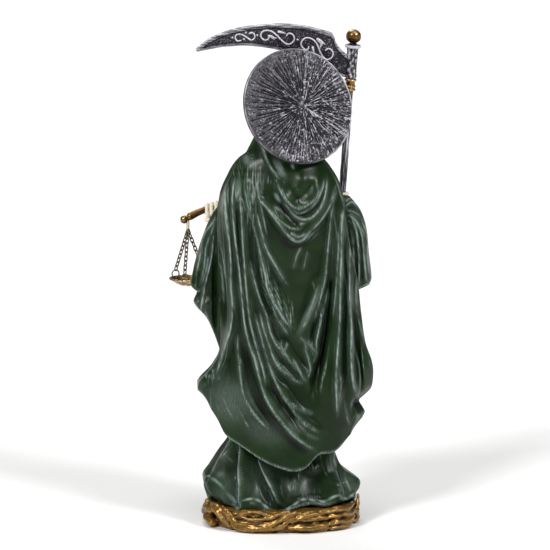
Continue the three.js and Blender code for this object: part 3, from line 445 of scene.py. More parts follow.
def raised(folds, x, z, sharp=False):
    """How far folds raise the cloth at x, z, and how pale its paint is there. Folds flow into each other, run
    out softly at both ends, and come to a sharp crest where wanted."""
    up, down, pale = np.zeros(x.shape), np.zeros(x.shape), np.zeros(x.shape)
    for number, (height, left, right, bright, *crest) in enumerate(folds):
        crest = curve_points(crest, 4 * len(crest))
        length = np.linalg.norm(np.diff(crest, axis=0), axis=1).sum()
        wide = max(left, right)
        near = (np.abs(x - np.clip(x, crest[:, 0].min(), crest[:, 0].max())) < wide)
        near &= (np.abs(z - np.clip(z, crest[:, 1].min(), crest[:, 1].max())) < wide)
        px, pz = x[near], z[near]
        nearest, side, along = np.full(px.shape, np.inf), np.zeros(px.shape), np.zeros(px.shape)
        for i, ((ax, az), (bx, bz)) in enumerate(zip(crest[:-1], crest[1:])):
            run_x, run_z = bx - ax, bz - az
            t = np.clip(((px - ax) * run_x + (pz - az) * run_z) / (run_x ** 2 + run_z ** 2), 0, 1)
            distance = np.hypot(px - mix(ax, bx, t), pz - mix(az, bz, t))
            closer = distance < nearest
            nearest = np.where(closer, distance, nearest)
            side = np.where(closer, run_x * (pz - az) - run_z * (px - ax), side)
            along = np.where(closer, (i + t) / (len(crest) - 1), along)
        run = along * length
        first = min(6 if sharp else 14, 0.25 * length)
        last = min(8 if sharp else 14, 0.25 * length)
        fade = smooth(run / first) * smooth((length - run) / last)
        share = np.clip(nearest / np.where(side > 0, left, right), 0, 1)
        pinched = 1.4 * np.clip(1 - np.sqrt(share ** 2 + 0.03), 0, 1) ** 2
        rise = abs(height) * fade * (pinched if sharp else (1 - share ** 2) ** 2)
        if height > 0:
            up[near] += rise ** 3
        else:
            down[near] = np.maximum(down[near], rise)
        # Brush strokes run along the fold: an even line on its crest and short hairs beside it
        across = np.where(side > 0, nearest, -nearest)
        line = 0.72 + 0.34 * np.sin(run / 3.1 + 1.7 * number) + 0.28 * np.sin(run / 0.8 + 4 * across)
        line = np.clip(line, 0.12, 1)
        hairs = np.clip(np.sin(6 * across + 1.3 * np.sin(run / 3 + number)), 0, 1)
        hairs *= np.clip(0.3 + np.sin(run / 2.7 + number), 0, 1) * np.exp(-((nearest / 1.6) ** 2))
        strokes = np.maximum(line * np.exp(-((nearest / 0.36) ** 2)), 0.32 * hairs)
        strokes = np.maximum(strokes, 0.14 * np.exp(-((nearest / 1.2) ** 2)))
        pale[near] = np.maximum(pale[near], bright * fade * strokes)
    return np.cbrt(up) - down, pale


def brushed_places(places, x, z, soft=False):
    """How pale the short brush strokes are at x, z. Soft places are pale all over with only faint strokes,
    and serve mostly as painted highlights.
    """
    pale = np.zeros(x.shape)
    for number, (middle_x, middle_z, wide, tall, lean, bright) in enumerate(places):
        across = x - middle_x - lean * (z - middle_z)
        within = np.exp(-np.abs(across / wide) ** 3 - np.abs((z - middle_z) / tall) ** 3)
        hairs = np.clip(0.2 + 0.8 * np.sin(5.2 * across + 0.6 * np.sin(0.35 * z + number)), 0, 1)
        hairs *= np.clip(0.5 + 0.5 * np.sin(0.55 * z + 2.3 * across + number) + 0.2 * np.sin(2.1 * z), 0, 1)
        pale = np.maximum(pale, bright * within * (0.75 + 0.25 * hairs if soft else hairs))
    return pale


def bump(x, z, centre_x, centre_z, wide, tall, height):
    """A smooth swelling of the cloth."""
    return height * np.exp(-(((x - centre_x) / wide) ** 2) - ((z - centre_z) / tall) ** 2)


# The cloak with its hood
cloak_left = through((28, 33), (48, 36), (60, 38.3), (66, 38.2), (73, 32), (80, 28.3), (94, 27.6),
                     (120, 28.2), (142, 28.6), (151.7, 27.5), (156.4, 26.1), (160, 24.5), (164.6, 22.3),
                     (168.4, 19.2), (170.7, 16.1), (172.8, 14.9), (177.6, 12.4), (181, 10.6), (188, 8.6))
cloak_right = through((28, 35), (43, 34.6), (50, 38.3), (52, 38.9), (57.5, 40), (63, 41.4), (71, 42.1),
                      (76, 41.3), (84, 38.5), (98.6, 36.4), (112, 35.1), (130, 31.6), (146, 29.4),
                      (156, 26.6), (160.5, 24.7), (165.2, 21.8), (170, 18.4), (179, 19.6), (188, 22.6))
# The notch in the right edge where the back of the cloak meets its front, by height
cloak_notch = through((50, 0), (52, 0.5), (54.6, 2.3), (57.5, 4.4), (59.6, 2.8), (63, 0.4), (65, 0))
cloak_back = through((28, 24.4), (60, 21.6), (90, 18.6), (140, 17.4), (155, 16.4), (165, 14.2), (176, 11.6),
                     (188, 11))
cloak_front = through((28, 22), (70, 20), (110, 17), (145, 16), (158, 14.5), (168, 15), (178, 20),
                      (188, 22.5))
cloak_centre = through((150, 0), (170, -3.4), (188, HEAD["place"][0] + 0.6))
hem_height = through((-70, 74), (-30, 68), (0, 64.5), (16, 60), (27, 51), (34, 44.5), (46, 40.6),
                     (72, 33.4), (92, CLOAK["centre_hem"] + 1), (104, CLOAK["centre_hem"]), (116, 30.4),
                     (129, 36), (143, 36.6), (160, 42.6), (170, 49.6), (180, 55), (196, 61), (250, 72))
# Swellings and hollows of the cloak behind: x, z, half width and height, how far out
CLOAK_SWELLS = [(-12, 158, 9, 7.5, 1.9), (17, 166, 5, 5, 0.8), (-9.7, 160.8, 2.6, 3, 0.7),
                (-7, 156.3, 2, 2, 0.5), (-16.4, 160.8, 2.4, 2.6, 0.6), (-13, 156.5, 2.2, 3, -0.7),
                (-4, 141, 6, 3.4, 0.9), (-27, 75, 5, 12, 0.8)]
front_edge = through((40, 25), (60, 24), (100, 19.5), (130, 14.5), (150, 9.6), (166, 5.4), (172, 4))


def hooded_head_frame():
    """Place and turn of the head in its hood."""
    turn = Matrix.Rotation(math.radians(HEAD["turn"]), 4, "Z")
    bow = Matrix.Rotation(math.radians(HEAD["nod"]), 4, "X")
    return Matrix.Translation(HEAD["place"]) @ turn @ bow


def through_matrix(points, matrix):
    """Points after a matrix's turn and shift."""
    matrix = np.array(matrix)
    return points @ matrix[:3, :3].T + matrix[:3, 3]


def hollowed(points, centre, size, applies):
    """Points within an egg-shaped mouth, open towards -Y, moved to its far wall."""
    scaled = (points - centre) / size
    inside = (np.linalg.norm(scaled, axis=1) < 1) & applies
    wall = np.sqrt(np.clip(1 - scaled[:, 0] ** 2 - scaled[:, 2] ** 2, 0, 1))
    scaled[inside, 1] = wall[inside]
    return scaled * size + centre, inside


def cloak_ring(degree, z, inward=0.0, share=1.0):
    """Points of the cloak's outline at each angle and height."""
    angle = np.radians(degree)
    at = np.minimum(z, CLOAK["temple"])
    centre = cloak_centre(at)
    radius = reach(angle, cloak_left(at) - centre, cloak_right(at) + centre, cloak_back(at), cloak_front(at))
    radius = radius * share - inward - cloak_notch(z) * smooth((-np.cos(angle) - 0.9) / 0.08)
    height = np.broadcast_to(z, radius.shape)
    return np.stack([centre + radius * np.cos(angle), radius * np.sin(angle), height], axis=-1)


def make_cloak():
    # Columns stand closer at the back, and rows closer where the cowl hangs in rolls
    columns_behind, columns_ahead, rows = 284, 60, 228
    share = np.linspace(0, 1, columns_behind, endpoint=False)
    behind_it = 180 * (share - 0.06 * np.sin(2 * np.pi * share))
    degree = np.r_[behind_it, np.linspace(180, 360, columns_ahead, endpoint=False)]
    hem = hem_height(np.where(degree > 270, degree - 360, degree))
    climb = np.interp(np.linspace(0, 1, rows), (0, 0.5, 1), (0, 0.6, 1))
    body = [cloak_ring(degree, mix(hem, CLOAK["temple"], step)) for step in climb]
    dome = []
    for turn in np.radians(np.linspace(4, 84, 24)):
        up = CLOAK["temple"] + (CLOAK["crown"] - CLOAK["temple"]) * math.sin(turn)
        dome.append(cloak_ring(degree, np.full(degree.shape, up), share=math.cos(turn)))
    # The hem rolls in by these steps inward and up, and then the lining climbs inside
    roll = [(0.35, -0.45), (1.1, -0.65), (1.9, -0.3), (2.7, 0.9), (3.4, 2.6)]
    under = [cloak_ring(degree, hem + lift, inward=inward) for inward, lift in roll]
    under += [cloak_ring(degree, mix(hem, CLOAK["underside"] + 12, step), inward=3.4 + 8.6 * step / 0.55)
              for step in (0.15, 0.3, 0.55)]
    points = np.array(under[::-1] + body + dome)
    x, height = points[..., 0].copy(), points[..., 2].copy()

    # Folds lift the back and fade round the sides, which keep their outline, and in under the hem
    behind = np.clip(np.sin(np.radians(degree)) * 3.5, 0, 1)
    under_fade = np.r_[0, 0.1, 0.25, 0.5, 0.8, 0.95, 1, 1, np.ones(len(body) + len(dome))][:, None]
    broad, _ = raised(BROAD_FOLDS, x, height)
    fine, pale = raised(FINE_FOLDS, x, height, sharp=True)
    pale = np.maximum(pale, brushed_places(BRUSHED_CLOAK, x, height))
    pale = np.maximum(pale, brushed_places(PAINTED_HIGHLIGHTS_AND_PALE_CLOAK, x, height, soft=True))
    swells = sum(bump(x, height, *swell) for swell in CLOAK_SWELLS)
    uneven = 0.12 * waves(points.reshape(-1, 3), 9, 3).reshape(x.shape)
    points[..., 1] += under_fade * behind * (broad + fine + swells) + uneven

    # Small upright pleats run down the sides, where the folds of the back end
    round_it = np.radians(degree)
    beside = under_fade * smooth(6 * np.abs(np.cos(round_it)) - 5) * smooth(4 * np.sin(round_it) + 1)
    beside = beside * smooth((168 - height) / 15)
    pleats = 1 - np.abs(np.sin(13 * round_it + 0.5 * np.sin(height / 21) + height / 60)) ** 0.8
    points[..., 0] += beside * np.sign(np.cos(round_it)) * 0.8 * (pleats - 0.5)
    broken = np.clip(0.6 + 0.4 * np.sin(height / 5 + 9 * round_it), 0, 1)
    pleat_lines = 0.7 * beside * smooth((pleats - 0.72) / 0.28) * broken

    # The robe shows between the front edges, which are rolled
    ahead = smooth(-np.sin(np.radians(degree)) * 3)
    inside = front_edge(height) - np.abs(x - cloak_centre(np.minimum(height, CLOAK["temple"])))
    sunk = 6.5 * smooth(inside / 1.8) - 0.9 * np.exp(-((inside + 1.1) / 1.3) ** 2)
    points[..., 1] += ahead * smooth((172 - height) / 4) * sunk

    # The open hood, with a rolled lip round its mouth
    mouth_centre, mouth_size = np.array((0, -11, -1.6)), np.array((10.4, 15.6, 15.8))
    head = hooded_head_frame()
    local = through_matrix(points.reshape(-1, 3), head.inverted())
    away = np.linalg.norm((local - mouth_centre) / mouth_size, axis=1)
    local, _ = hollowed(local, mouth_centre, mouth_size, local[:, 1] < 2)
    local[:, 1] -= 0.9 * np.exp(-(((away - 1.07) / 0.06) ** 2)) * (local[:, 1] < 4)
    flat = through_matrix(local, head)

    # The back of the hood lies flat against the halo
    gap = 0.15
    away_from_disc = flat - HALO["centre"]
    normal = np.array(Vector(HALO["back"]).normalized())
    behind_disc = away_from_disc @ normal
    beyond = behind_disc + HALO["edge"] / 2 + gap
    across_disc = away_from_disc - np.outer(behind_disc, normal)
    on_disc = np.linalg.norm(across_disc, axis=1) < HALO["radius"]
    flat -= np.outer(np.where(on_disc, np.maximum(beyond, 0), 0), normal)

    crown = flat.reshape(points.shape)[-1].mean(axis=0)
    made = piece("cloak", *lofted(flat.reshape(points.shape), (0, 0, CLOAK["underside"]), crown), ["figure"],
                 "green_cloth")
    pale = np.maximum(pale * behind * under_fade, pleat_lines)
    give_value(made, "brushed", np.r_[0, pale.ravel(), 0])
    return made


# The robe, from its ruffled hem on the ground, in at the belt, to the neck
robe_left = through((8, 31), (13, 33.2), (17, 35.2), (20, 36), (22.6, 35.8), (26, 33.4), (32, 29.4),
                    (40.4, 23.6), (48, 21.6), (74, 20), (114, 15.4), (140, 18), (158, 14), (172, 6))
robe_right = through((8, 32), (12.8, 33.4), (17, 35.8), (20.2, 36.2), (22.4, 33), (25.5, 28.6), (33, 24.4),
                     (44, 21), (74, 20), (114, 15.4), (140, 18), (158, 14), (172, 6))
robe_back = through((8, 20.4), (14, 19.6), (26, 15.8), (44, 13), (74, 12), (172, 6))
robe_front = through((8, 20.6), (20, 19.4), (40, 18.6), (74, 16.6), (104, 15.4), (114, 13.4), (124, 14.6),
                     (142, 14.4), (158, 11.4), (172, 8))
# The thick band of the hem behind, by x: the line where it starts and its lower edge
band_top = through((-36, 17.5), (-33, 14.4), (-28.3, 14), (-26.2, 16), (-20.3, 13.4), (-15, 14.4),
                   (-10, 14.8), (-7, 13.4), (-3, 10.8), (1.5, 9.6), (4, 10), (7, 11.8), (10.3, 14.4),
                   (14, 15), (17, 14), (18.4, 10.8), (21.5, 11.6), (24.2, 14.6), (27.4, 19.4), (29.8, 22.4),
                   (33, 23.8))
band_foot = through((-36.4, 16.4), (-33, 13.2), (-30.5, 12.2), (-26, 11.6), (-20.3, 10.3), (-15, 11.6),
                    (-9.6, 11), (-3, 8.9), (0.6, 8.1), (4, 7.7), (7, 8.4), (11, 8.9), (16, 8.9),
                    (18.3, 8.2), (23.7, 10.5), (28, 11.6), (30.6, 13.6), (32.5, 15.6), (34, 19.6))

# Two short rows of shallow upright nicks on the hem behind: their height, how tall, wide and deep they are,
# and the x of each
NICK_STEP = 1.1
NICKS = {"middle": 15.7, "tall": 1.7, "wide": 0.32, "deep": 0.35,
         "places": [start - NICK_STEP * i for start, count in ((-4.8, 5), (-13.4, 6)) for i in range(count)]}


def make_robe():
    front_folds = [(1.6, 3.6, 3.6, 0, (i * 3, 118), (i * 5.4, 60), (i * 11, 4))
                   for i in (-2.5, -1.5, -0.5, 0.5, 1.5, 2.5)]
    front_folds += [(1.1, 3, 3, 0, (i * 5.4, 166), (i * 4.4, 136), (i * 2.6, 114))
                    for i in (-1.5, -0.5, 0.5, 1.5)]
    fine_front = [(1.0, 1.8, 1.8, 0.6, (i * 3 + 0.4, 112), (i * 5.6, 60), (i * 11.2, 6))
                  for i in (-2.5, -2, -1.5, -0.9, -0.3, 0.4, 1.1, 1.5, 2.1, 2.5)]
    fine_front += [(0.8, 1.6, 1.6, 0.5, (i * 4.6, 164), (i * 4.2, 136), (i * 2.4, 118))
                   for i in (-2, -1, 0, 1, 2)]
    columns, skirt_rows, upper_rows = 384, 116, 54
    angle = np.radians(np.linspace(0, 360, columns, endpoint=False))
    behind, ahead = smooth(np.sin(angle) * 4), smooth(-np.sin(angle) * 4)
    rings, marks, shades = [], [], []
    for z in np.r_[np.linspace(7, 50, skirt_rows), np.linspace(51, 172, upper_rows)]:
        radius = reach(angle, robe_left(z), robe_right(z), robe_back(z), robe_front(z))
        x = radius * np.cos(angle)
        up = np.full(x.shape, float(z))
        rear, _ = raised(SKIRT_FOLDS, x, up)
        rear_fine, rear_pale = raised(FINE_SKIRT_FOLDS, x, up, sharp=True)
        fore, _ = raised(front_folds, x, up)
        fore_fine, fore_pale = raised(fine_front, x, up, sharp=True)
        rear = rear + rear_fine + sum(bump(x, up, *swell) for swell in SKIRT_SWELLS)
        rear_pale = np.maximum(rear_pale, brushed_places(BRUSHED_ROBE, x, up))
        rear_pale = np.maximum(rear_pale, brushed_places(PAINTED_HIGHLIGHTS_ROBE, x, up, soft=True))
        rise = behind * rear + ahead * (fore + fore_fine) - 0.8
        radius = radius + rise * np.abs(np.sin(angle))
        beside = smooth(4 * np.abs(np.cos(angle)) - 2.6) * smooth((up - 9) / 8) * smooth((90 - up) / 30)
        radius += beside * 1.5 * (0.5 - np.abs(np.sin(8 * angle + 0.5 * np.sin(up / 13) + up / 50)) ** 0.8)
        # The band stands out from the folds above it, and the cloth turns in below it
        foot = mix(9.8 + 0.9 * np.sin(20 * angle), band_foot(x), behind)
        top = mix(foot + 3.4, band_top(x), behind)
        within = np.clip((up - foot) / (top - foot), 0, 1)
        radius += 1.4 * np.sin(np.pi * within ** 0.8) * (within > 0) - 6 * smooth((foot - up) / 1.4)
        nick = max(np.exp(-((z - NICKS["middle"]) / NICKS["tall"] * 2) ** 8) - 0.05, 0)
        nick = nick * behind * sum(np.exp(-((x - place) / NICKS["wide"]) ** 2) for place in NICKS["places"])
        radius -= NICKS["deep"] * nick
        rings.append(round_points(radius, angle, up))
        edge = 0.8 * np.exp(-((up - top + 0.4) / 0.45) ** 2) * (0.6 + 0.4 * np.sin(angle * 37))
        lines = np.maximum(behind * rear_pale, ahead * fore_pale)
        marks.append(np.maximum(lines, behind * edge) * (1 - nick))
        # Painted shade: the skirt is painted dark in the broad hollow round the round swell at x -16, z 27
        hollow = 0.75 * bump(x, up, -16, 25, 6.5, 9, 1.0) * (1 - bump(x, up, -16.4, 27.4, 2.6, 2.4, 1.0))
        shades.append(np.clip(nick + behind * hollow, 0, 1))
    made = piece("robe", *lofted(rings, (0, 0, 7), (0, 0, 173)), ["figure"], "green_cloth")
    give_value(made, "shade", np.r_[0, np.array(shades).ravel(), 0])
    give_value(made, "brushed", np.r_[0, np.array(marks).ravel(), 0])
    return made


# Bell sleeves, each a hanging lobe or two. By height: the middle's x and y, and how far it reaches to the
# left, right, back and front
LEFT_BELL = [(106.6, 34, -2, 4, 6, 3, 3), (109.4, 32, -2.4, 9, 8, 4.4, 5.4),
             (112.6, 30, -3, 10.9, 8, 5, 6.6), (122, 28, -6, 10.8, 9, 7, 8.5),
             (133, 26.5, -8, 8.8, 10, 8, 9), (141, 25.4, -8, 6.4, 9, 7.5, 8), (146.4, 24, -7.4, 4, 7, 6, 6)]
LEFT_DROP = [(79.8, 25.6, 0, 2.2, 6, 3.4, 3), (88, 25, -1, 5.8, 8, 5, 4.6), (95, 25, -1.6, 9.2, 8, 6, 6),
             (101.8, 26.4, -2, 13.4, 9, 6.6, 7), (106, 26.6, -2.6, 12, 9, 6, 7.6),
             (118, 27, -4, 9.6, 9, 5.6, 8), (130, 26, -8, 7, 8, 6, 6)]
RIGHT_BELL = [(109.8, -33, -6, 6, 7.6, 7, 9), (113, -32, -6, 8, 9.4, 8, 10.5),
              (124, -31, -7, 9, 9.2, 9, 10.4), (136, -30, -7.4, 9, 8.9, 8.8, 9.4),
              (144, -29, -8, 8, 7, 7.8, 8), (149.6, -28, -8.4, 6, 3.4, 5, 5)]
LEFT_LINES = [
    (1.0, 1.6, 2.0, 0.8, (29.6, 143), (30.6, 139.3), (34.1, 134.4), (36, 129.5), (36.9, 123),
     (39.2, 112.5)),
    (0.9, 1.4, 1.8, 0.7, (30, 141), (31, 135.8), (32.7, 131.6), (34.1, 127.3), (34.5, 122.4), (35.2, 116.8),
     (37.6, 108.7)),
    (1.6, 1.6, 1.4, 1.0, (30.6, 134), (31.3, 123.8), (32.7, 117.5), (34.1, 111.8), (35.5, 104.8),
     (36.2, 100.2), (36, 95)),
    (0.8, 1.4, 1.4, 0.5, (32, 139), (34.9, 133), (37.4, 124), (38.6, 117)),
    (0.8, 1.4, 1.4, 0.6, (33, 124), (34, 117), (36.4, 110)),
    (0.9, 1.8, 1.8, 0.5, (38, 106), (38.2, 102), (36.8, 97), (33, 91)),
    (0.7, 1.4, 1.4, 0.4, (34, 104), (34, 98), (31.6, 91)),
    (-2.2, 2.0, 2.4, 0, (30.8, 128), (30.4, 118), (30.2, 108), (30, 94), (29, 86)),
    (-1.0, 1.4, 1.4, 0, (36.8, 118), (37.4, 112), (37.6, 108)),
]
RIGHT_LINES = [
    (0.8, 1.1, 1.1, 0.7, (-28.4, 147.4), (-30.6, 149), (-33.2, 148.8), (-35, 146.6)),
    (0.9, 1.1, 1.2, 0.8, (-28.8, 141.6), (-31, 142), (-33.6, 140), (-36.4, 136.4), (-38.2, 131)),
    (0.8, 1.0, 1.1, 0.5, (-28.6, 139.4), (-31, 139.2), (-33.4, 136.4), (-35.8, 131)),
    (-1.0, 1.0, 1.0, 0, (-28.8, 145.2), (-31.4, 145.9), (-34.2, 144.6), (-36.8, 140.6)),
    (1.0, 1.4, 1.4, 0.8, (-28.6, 145), (-29.9, 146.6), (-32, 147.8), (-34.4, 146), (-36, 142.9)),
    (0.9, 1.3, 1.3, 0.6, (-29, 143), (-30.2, 144.1), (-33.2, 143.5), (-36.3, 141), (-37.8, 137.9)),
    (1.3, 1.7, 1.7, 0.8, (-29.6, 144), (-31.4, 141.6), (-33.8, 136.7), (-35, 128.7), (-35.4, 119.5),
     (-35, 108)),
    (1.1, 1.5, 1.5, 0.8, (-31, 143), (-33.2, 141), (-36.3, 134.2), (-37.5, 125.6), (-38.4, 116.4),
     (-39.3, 109)),
    (1.0, 1.5, 1.5, 0.6, (-35.4, 142), (-36.9, 139.2), (-39, 131.8), (-39.3, 122.5), (-40.5, 111)),
    (0.9, 1.4, 1.4, 0.5, (-31, 137), (-32.6, 130), (-33, 120), (-32.8, 110)),
    (-1.2, 1.3, 1.3, 0, (-34.4, 139), (-36, 130), (-36.6, 118), (-37, 109)),
    (-1.2, 1.5, 1.5, 0, (-31.6, 134), (-34, 124), (-34, 108)),
]


def lobe(levels, lines, folds, phase, slope=0.0):
    """A hanging lobe of a sleeve, with lines behind, small folds in front, and a slope to its lower edge."""
    rows, around, fold_depth = 100, 168, 0.6
    levels = np.array(levels, float)
    curves = [through(*zip(levels[:, 0], levels[:, k])) for k in range(1, 7)]
    angle = np.linspace(0, 2 * np.pi, around, endpoint=False)
    rings, marks = [], []
    low, high = levels[0, 0], levels[-1, 0]
    for z in np.linspace(low, high, rows):
        x, y, left, right, back, front = (curve(z) for curve in curves)
        radius = reach(angle, left, right, back, front, 2.4)
        share = (z - low) / (high - low)
        wave = np.sin(angle * folds + phase + 1.3 * np.sin(angle * 2 + phase) + 0.8 * share)
        ahead = smooth(0.5 - np.sin(angle))
        rounded = np.abs(wave) ** 0.8 * np.sign(wave) - 1
        radius = radius + ahead * fold_depth * (1 - 0.5 * share) * rounded * 0.5
        place = round_points(radius, angle, z) + (x, y, 0)
        lift, pale = raised(lines, place[:, 0], place[:, 2], sharp=True)
        behind = smooth(0.2 + np.sin(angle) * 2.5)
        place[:, 1] += behind * lift
        place[:, 2] -= slope * smooth((low + 12 - z) / 12) * np.clip(place[:, 0] + 40, 0, 5)
        rings.append(place)
        marks.append(np.maximum(behind * pale, 0.5 * ahead * smooth((wave - 0.7) / 0.3)))
    ends = [(curves[0](at), curves[1](at), at + more) for at, more in ((low, -0.8), (high, 0.8))]
    return *lofted(rings, *ends), np.r_[0, np.array(marks).ravel(), 0]


def make_sleeve(name, lobes, mouth_centre, mouth_size):
    """A sleeve of one or two lobes, hollowed where the hand comes out."""
    points, faces = together(*[lobe_part[:2] for lobe_part in lobes])
    points, inside = hollowed(points, np.array(mouth_centre), np.array(mouth_size), True)
    made = piece(name, points, faces, ["figure"], "green_cloth")
    give_value(made, "brushed", np.where(inside, 0, np.concatenate([marks for _, _, marks in lobes])))
    return made


# The skull in the hood's shadow, and the bare hands
def make_skull():
    # Brain case, upper jaw, chin and neck, and then the brow, cheekbone and jaw of each side
    parts = [
        egg((0, 1.6, 3.6), (8.2, 9.6, 8.6), 48, 32),
        egg((0, -2.0, -3.4), (6.3, 6.2, 5.0), 40, 24),
        egg((0, -3.4, -10.2), (4.6, 4.9, 3.4), 32, 20),
        strand([(0, 4, 2), (0, 4.6, -12), (2, 5, -26)], [3.4, 2.8, 3.4], 20, 30),
    ]
    for side in (-1, 1):
        parts.append(strand([(side * 0.8, -7.5, 2.7), (side * 3.4, -7.7, 3.3), (side * 6.3, -5.2, 2.2)],
                            [0.8, 1.0, 0.9], 14, 16))
        parts.append(strand([(side * 2.2, -7.4, -3.4), (side * 5.4, -6.0, -2.6), (side * 7.4, -1.6, -1.4)],
                            [1.0, 1.3, 0.9], 14, 16))
        parts.append(strand([(side * 6.2, 0.4, -4), (side * 5.6, -0.8, -9.6), (side * 2.6, -6.2, -12.2)],
                            [1.5, 1.5, 1.6], 14, 18))
    # Two rows of teeth
    for row, height in enumerate((-7.4, -9.2)):
        for i in range(-3, 3):
            turn = math.radians((i + 0.5) * 19)
            middle = (4.3 * math.sin(turn), -3.6 - 4.4 * math.cos(turn), height)
            parts.append(egg(middle, (0.72, 0.6, 0.95 - 0.1 * row), 12, 10))
    frame_of_head = hooded_head_frame()
    made = piece("skull", *moved(together(*parts), frame_of_head), ["figure"], "aged_bone")
    grown_together(made, CELL["skull"])
    points, _, _ = mesh_arrays(made)
    local = through_matrix(points, frame_of_head.inverted())
    shade = np.zeros(len(local))
    # Eye sockets, nose and hollow cheeks, hollowed in and painted dark inside as painted shade
    for centre, size in [((-3.3, -8.2, 0.2), (2.6, 4.8, 2.4)), ((3.3, -8.2, 0.2), (2.6, 4.8, 2.4)),
                         ((0, -9.0, -4.3), (1.25, 3.4, 2.0)), ((-6.6, -4.6, -6.6), (2.0, 3.0, 2.2)),
                         ((6.6, -4.6, -6.6), (2.0, 3.0, 2.2))]:
        local, inside = hollowed(local, np.array(centre), np.array(size), True)
        shade[inside] = 0.95
    give_value(made, "shade", shade)
    move_points(made, through_matrix(local, frame_of_head))
    return made


def make_hand(name, grip, along, outward, wrist):
    """A closed hand of bones round a bar: four fingers, a thumb, and a wrist that leads into the sleeve."""
    grip = np.array(grip, float)
    axis = np.array(along, float) / np.linalg.norm(along)
    out = np.array(outward, float) / np.linalg.norm(outward)
    third = np.cross(axis, out)

    def at(a, o, t):
        return grip + a * axis + o * out + t * third

    knuckles = [0.8, 1.1, 0.88, 0.92, 1.15, 0.85, 1.0, 0.75]
    finger_pitch = 2.25
    parts = []
    for i in (-1.7, -0.7, 0.3, 1.3):
        a = i * finger_pitch
        low = 0.8 * a - 0.5
        route = [at(low, -5.0, -1.2), at(mix(low, a, 0.6), -3.6, -2.7), at(a, -1.4, -3.1), at(a, 0.8, -2.8),
                 at(a, 2.0, -1.2), at(a, 2.2, 1.2), at(a, 0.8, 2.8), at(a, -1.0, 2.6)]
        parts.append(strand(route, knuckles, 12, 30))
        parts.append(strand([at(a, -5.0, -1.2), mix(at(0.6 * a, -4.6, 0), np.array(wrist[0], float), 0.5)],
                            [1.1, 0.8], 10, 8))
    parts.append(strand([at(1, -4.4, 1), at(2.2, -1.8, 3), at(1.5, 0.8, 3.6)], [1.2, 0.9, 0.95], 12, 14))
    parts.append(strand([at(0, -4.4, 0), wrist[0], wrist[1]], [1.7, 1.3, 1.5], 14, 16))
    made = piece(name, *together(*parts), ["figure"], "aged_bone")
    grown_together(made, CELL["hand"])
    return made


# The belt is a twisted cord with two hanging ends
def twisted(route, radius, turns, count):
    """Three strands twisted round each other along a route."""
    centres = curve_points(route, count)
    ahead = np.gradient(centres, axis=0)
    ahead /= np.linalg.norm(ahead, axis=1)[:, None]
    across = np.cross(ahead, (0, 0.2, 1.0))
    across /= np.linalg.norm(across, axis=1)[:, None]
    other = np.cross(ahead, across)
    turn = np.linspace(0, turns * 2 * np.pi, count)[:, None]
    parts = []
    for start in (0, 2 * np.pi / 3, 4 * np.pi / 3):
        line = centres + 0.5 * radius * (np.cos(turn + start) * across + np.sin(turn + start) * other)
        parts.append(strand(line, [0.58 * radius] * 2, 8, count))
    return parts


def make_belt():
    angle = np.radians(np.linspace(-62, 62, 13))
    round_waist = np.stack([16.6 * np.sin(angle), -14.4 * np.cos(angle), BELT_HEIGHT - 2.2 * np.cos(angle)],
                           axis=1)
    parts = twisted(round_waist, 1.25, 9, 120)
    for side in (-1, 1):
        hanging = [(side, -14.6, BELT_HEIGHT - 2), (side * 2, -16.4, 100), (side * 2.6, -17, 85)]
        parts += twisted(hanging, 1.1, 7, 90)
        parts.append(egg((side * 2.65, -17, 84), (1.5, 1.5, 2.0)))
    parts.append(egg((0, -15.0, BELT_HEIGHT - 2.2), (2.3, 1.7, 1.9)))
    return piece("belt_cord", *together(*parts), ["figure"], "green_cloth")


# The gilded ground: roots piled round a low mound
def on_ground(x, z):
    """A place on the ground's rim behind by its x."""
    across = min(abs(x) / GROUND["half_width"], 0.999)
    return (x, GROUND["half_depth"] * (1 - across ** 2.2) ** (1 / 2.2), z)


def ground_reach(angle):
    """How far the ground's rim reaches at an angle."""
    half_width, half_depth = GROUND["half_width"], GROUND["half_depth"]
    return reach(angle, half_width, half_width, half_depth, half_depth)


def round_ground(degree, z):
    """A place on the ground's rim by its angle."""
    angle = np.radians(degree)
    radius = ground_reach(angle)
    return (float(radius * np.cos(angle)), float(radius * np.sin(angle)), z)


# Big roots behind: thickness, how far out they lie, and points (x, z) along them
BIG_ROOTS = [
    (3.2, 0.99, (24.4, 6.5), (22, 3.4), (14, 3.2), (5, 3.2), (0, 3.6)),
    (0.85, 1.0, (19.6, 8.6), (14.6, 10.1), (9.6, 10), (4.2, 8.1)),
    (0.85, 1.0, (19, 7.9), (15.2, 6.9), (10, 6.6), (4.6, 7.8)),
    (1.3, 0.93, (17, 8.2), (11.5, 8.4), (6, 8.1)),
    (1.8, 1.0, (9, 3.4), (4, 5), (-0.5, 7), (-4.2, 9), (-7.4, 10.2)),
    (1.6, 1.0, (4.6, 2), (0.4, 3.8), (-2.8, 6), (-5.4, 8)),
    (1.4, 0.99, (12, 6.2), (5.4, 7.6), (0.2, 9.6), (-3.6, 10.6)),
    (2.2, 1.0, (33.6, 11), (30.4, 9), (27.6, 5.8), (25, 2.6)),
    (1.7, 0.97, (28.6, 10.6), (26, 7.6), (23.6, 4.8)),
    (3.0, 0.99, (-4.2, 3), (-9, 3.4), (-15, 3), (-21, 3), (-26, 3.4)),
    (1.8, 1.0, (-5.4, 5.6), (-10, 7.8), (-16.4, 8.8), (-20, 8.2)),
    (1.3, 1.0, (-8, 6.4), (-13, 6.6), (-18, 7.2), (-23, 6.4)),
    (1.6, 1.0, (-18, 9.6), (-25.7, 9.9), (-31, 9.6), (-35, 10.8)),
    (1.5, 1.0, (-21, 6.6), (-26.2, 7.3), (-32.6, 6.8), (-35.4, 7.8)),
    (1.7, 1.0, (-22, 3.6), (-27, 4.3), (-32, 3.9), (-35, 4.9)),
    (1.4, 0.99, (-24, 1.5), (-28, 1.8), (-31.6, 1.4), (-34, 2.2)),
    (0.9, 1.0, (-35.2, 8), (-36, 10.4), (-36.2, 13), (-35.6, 14.4)),
]


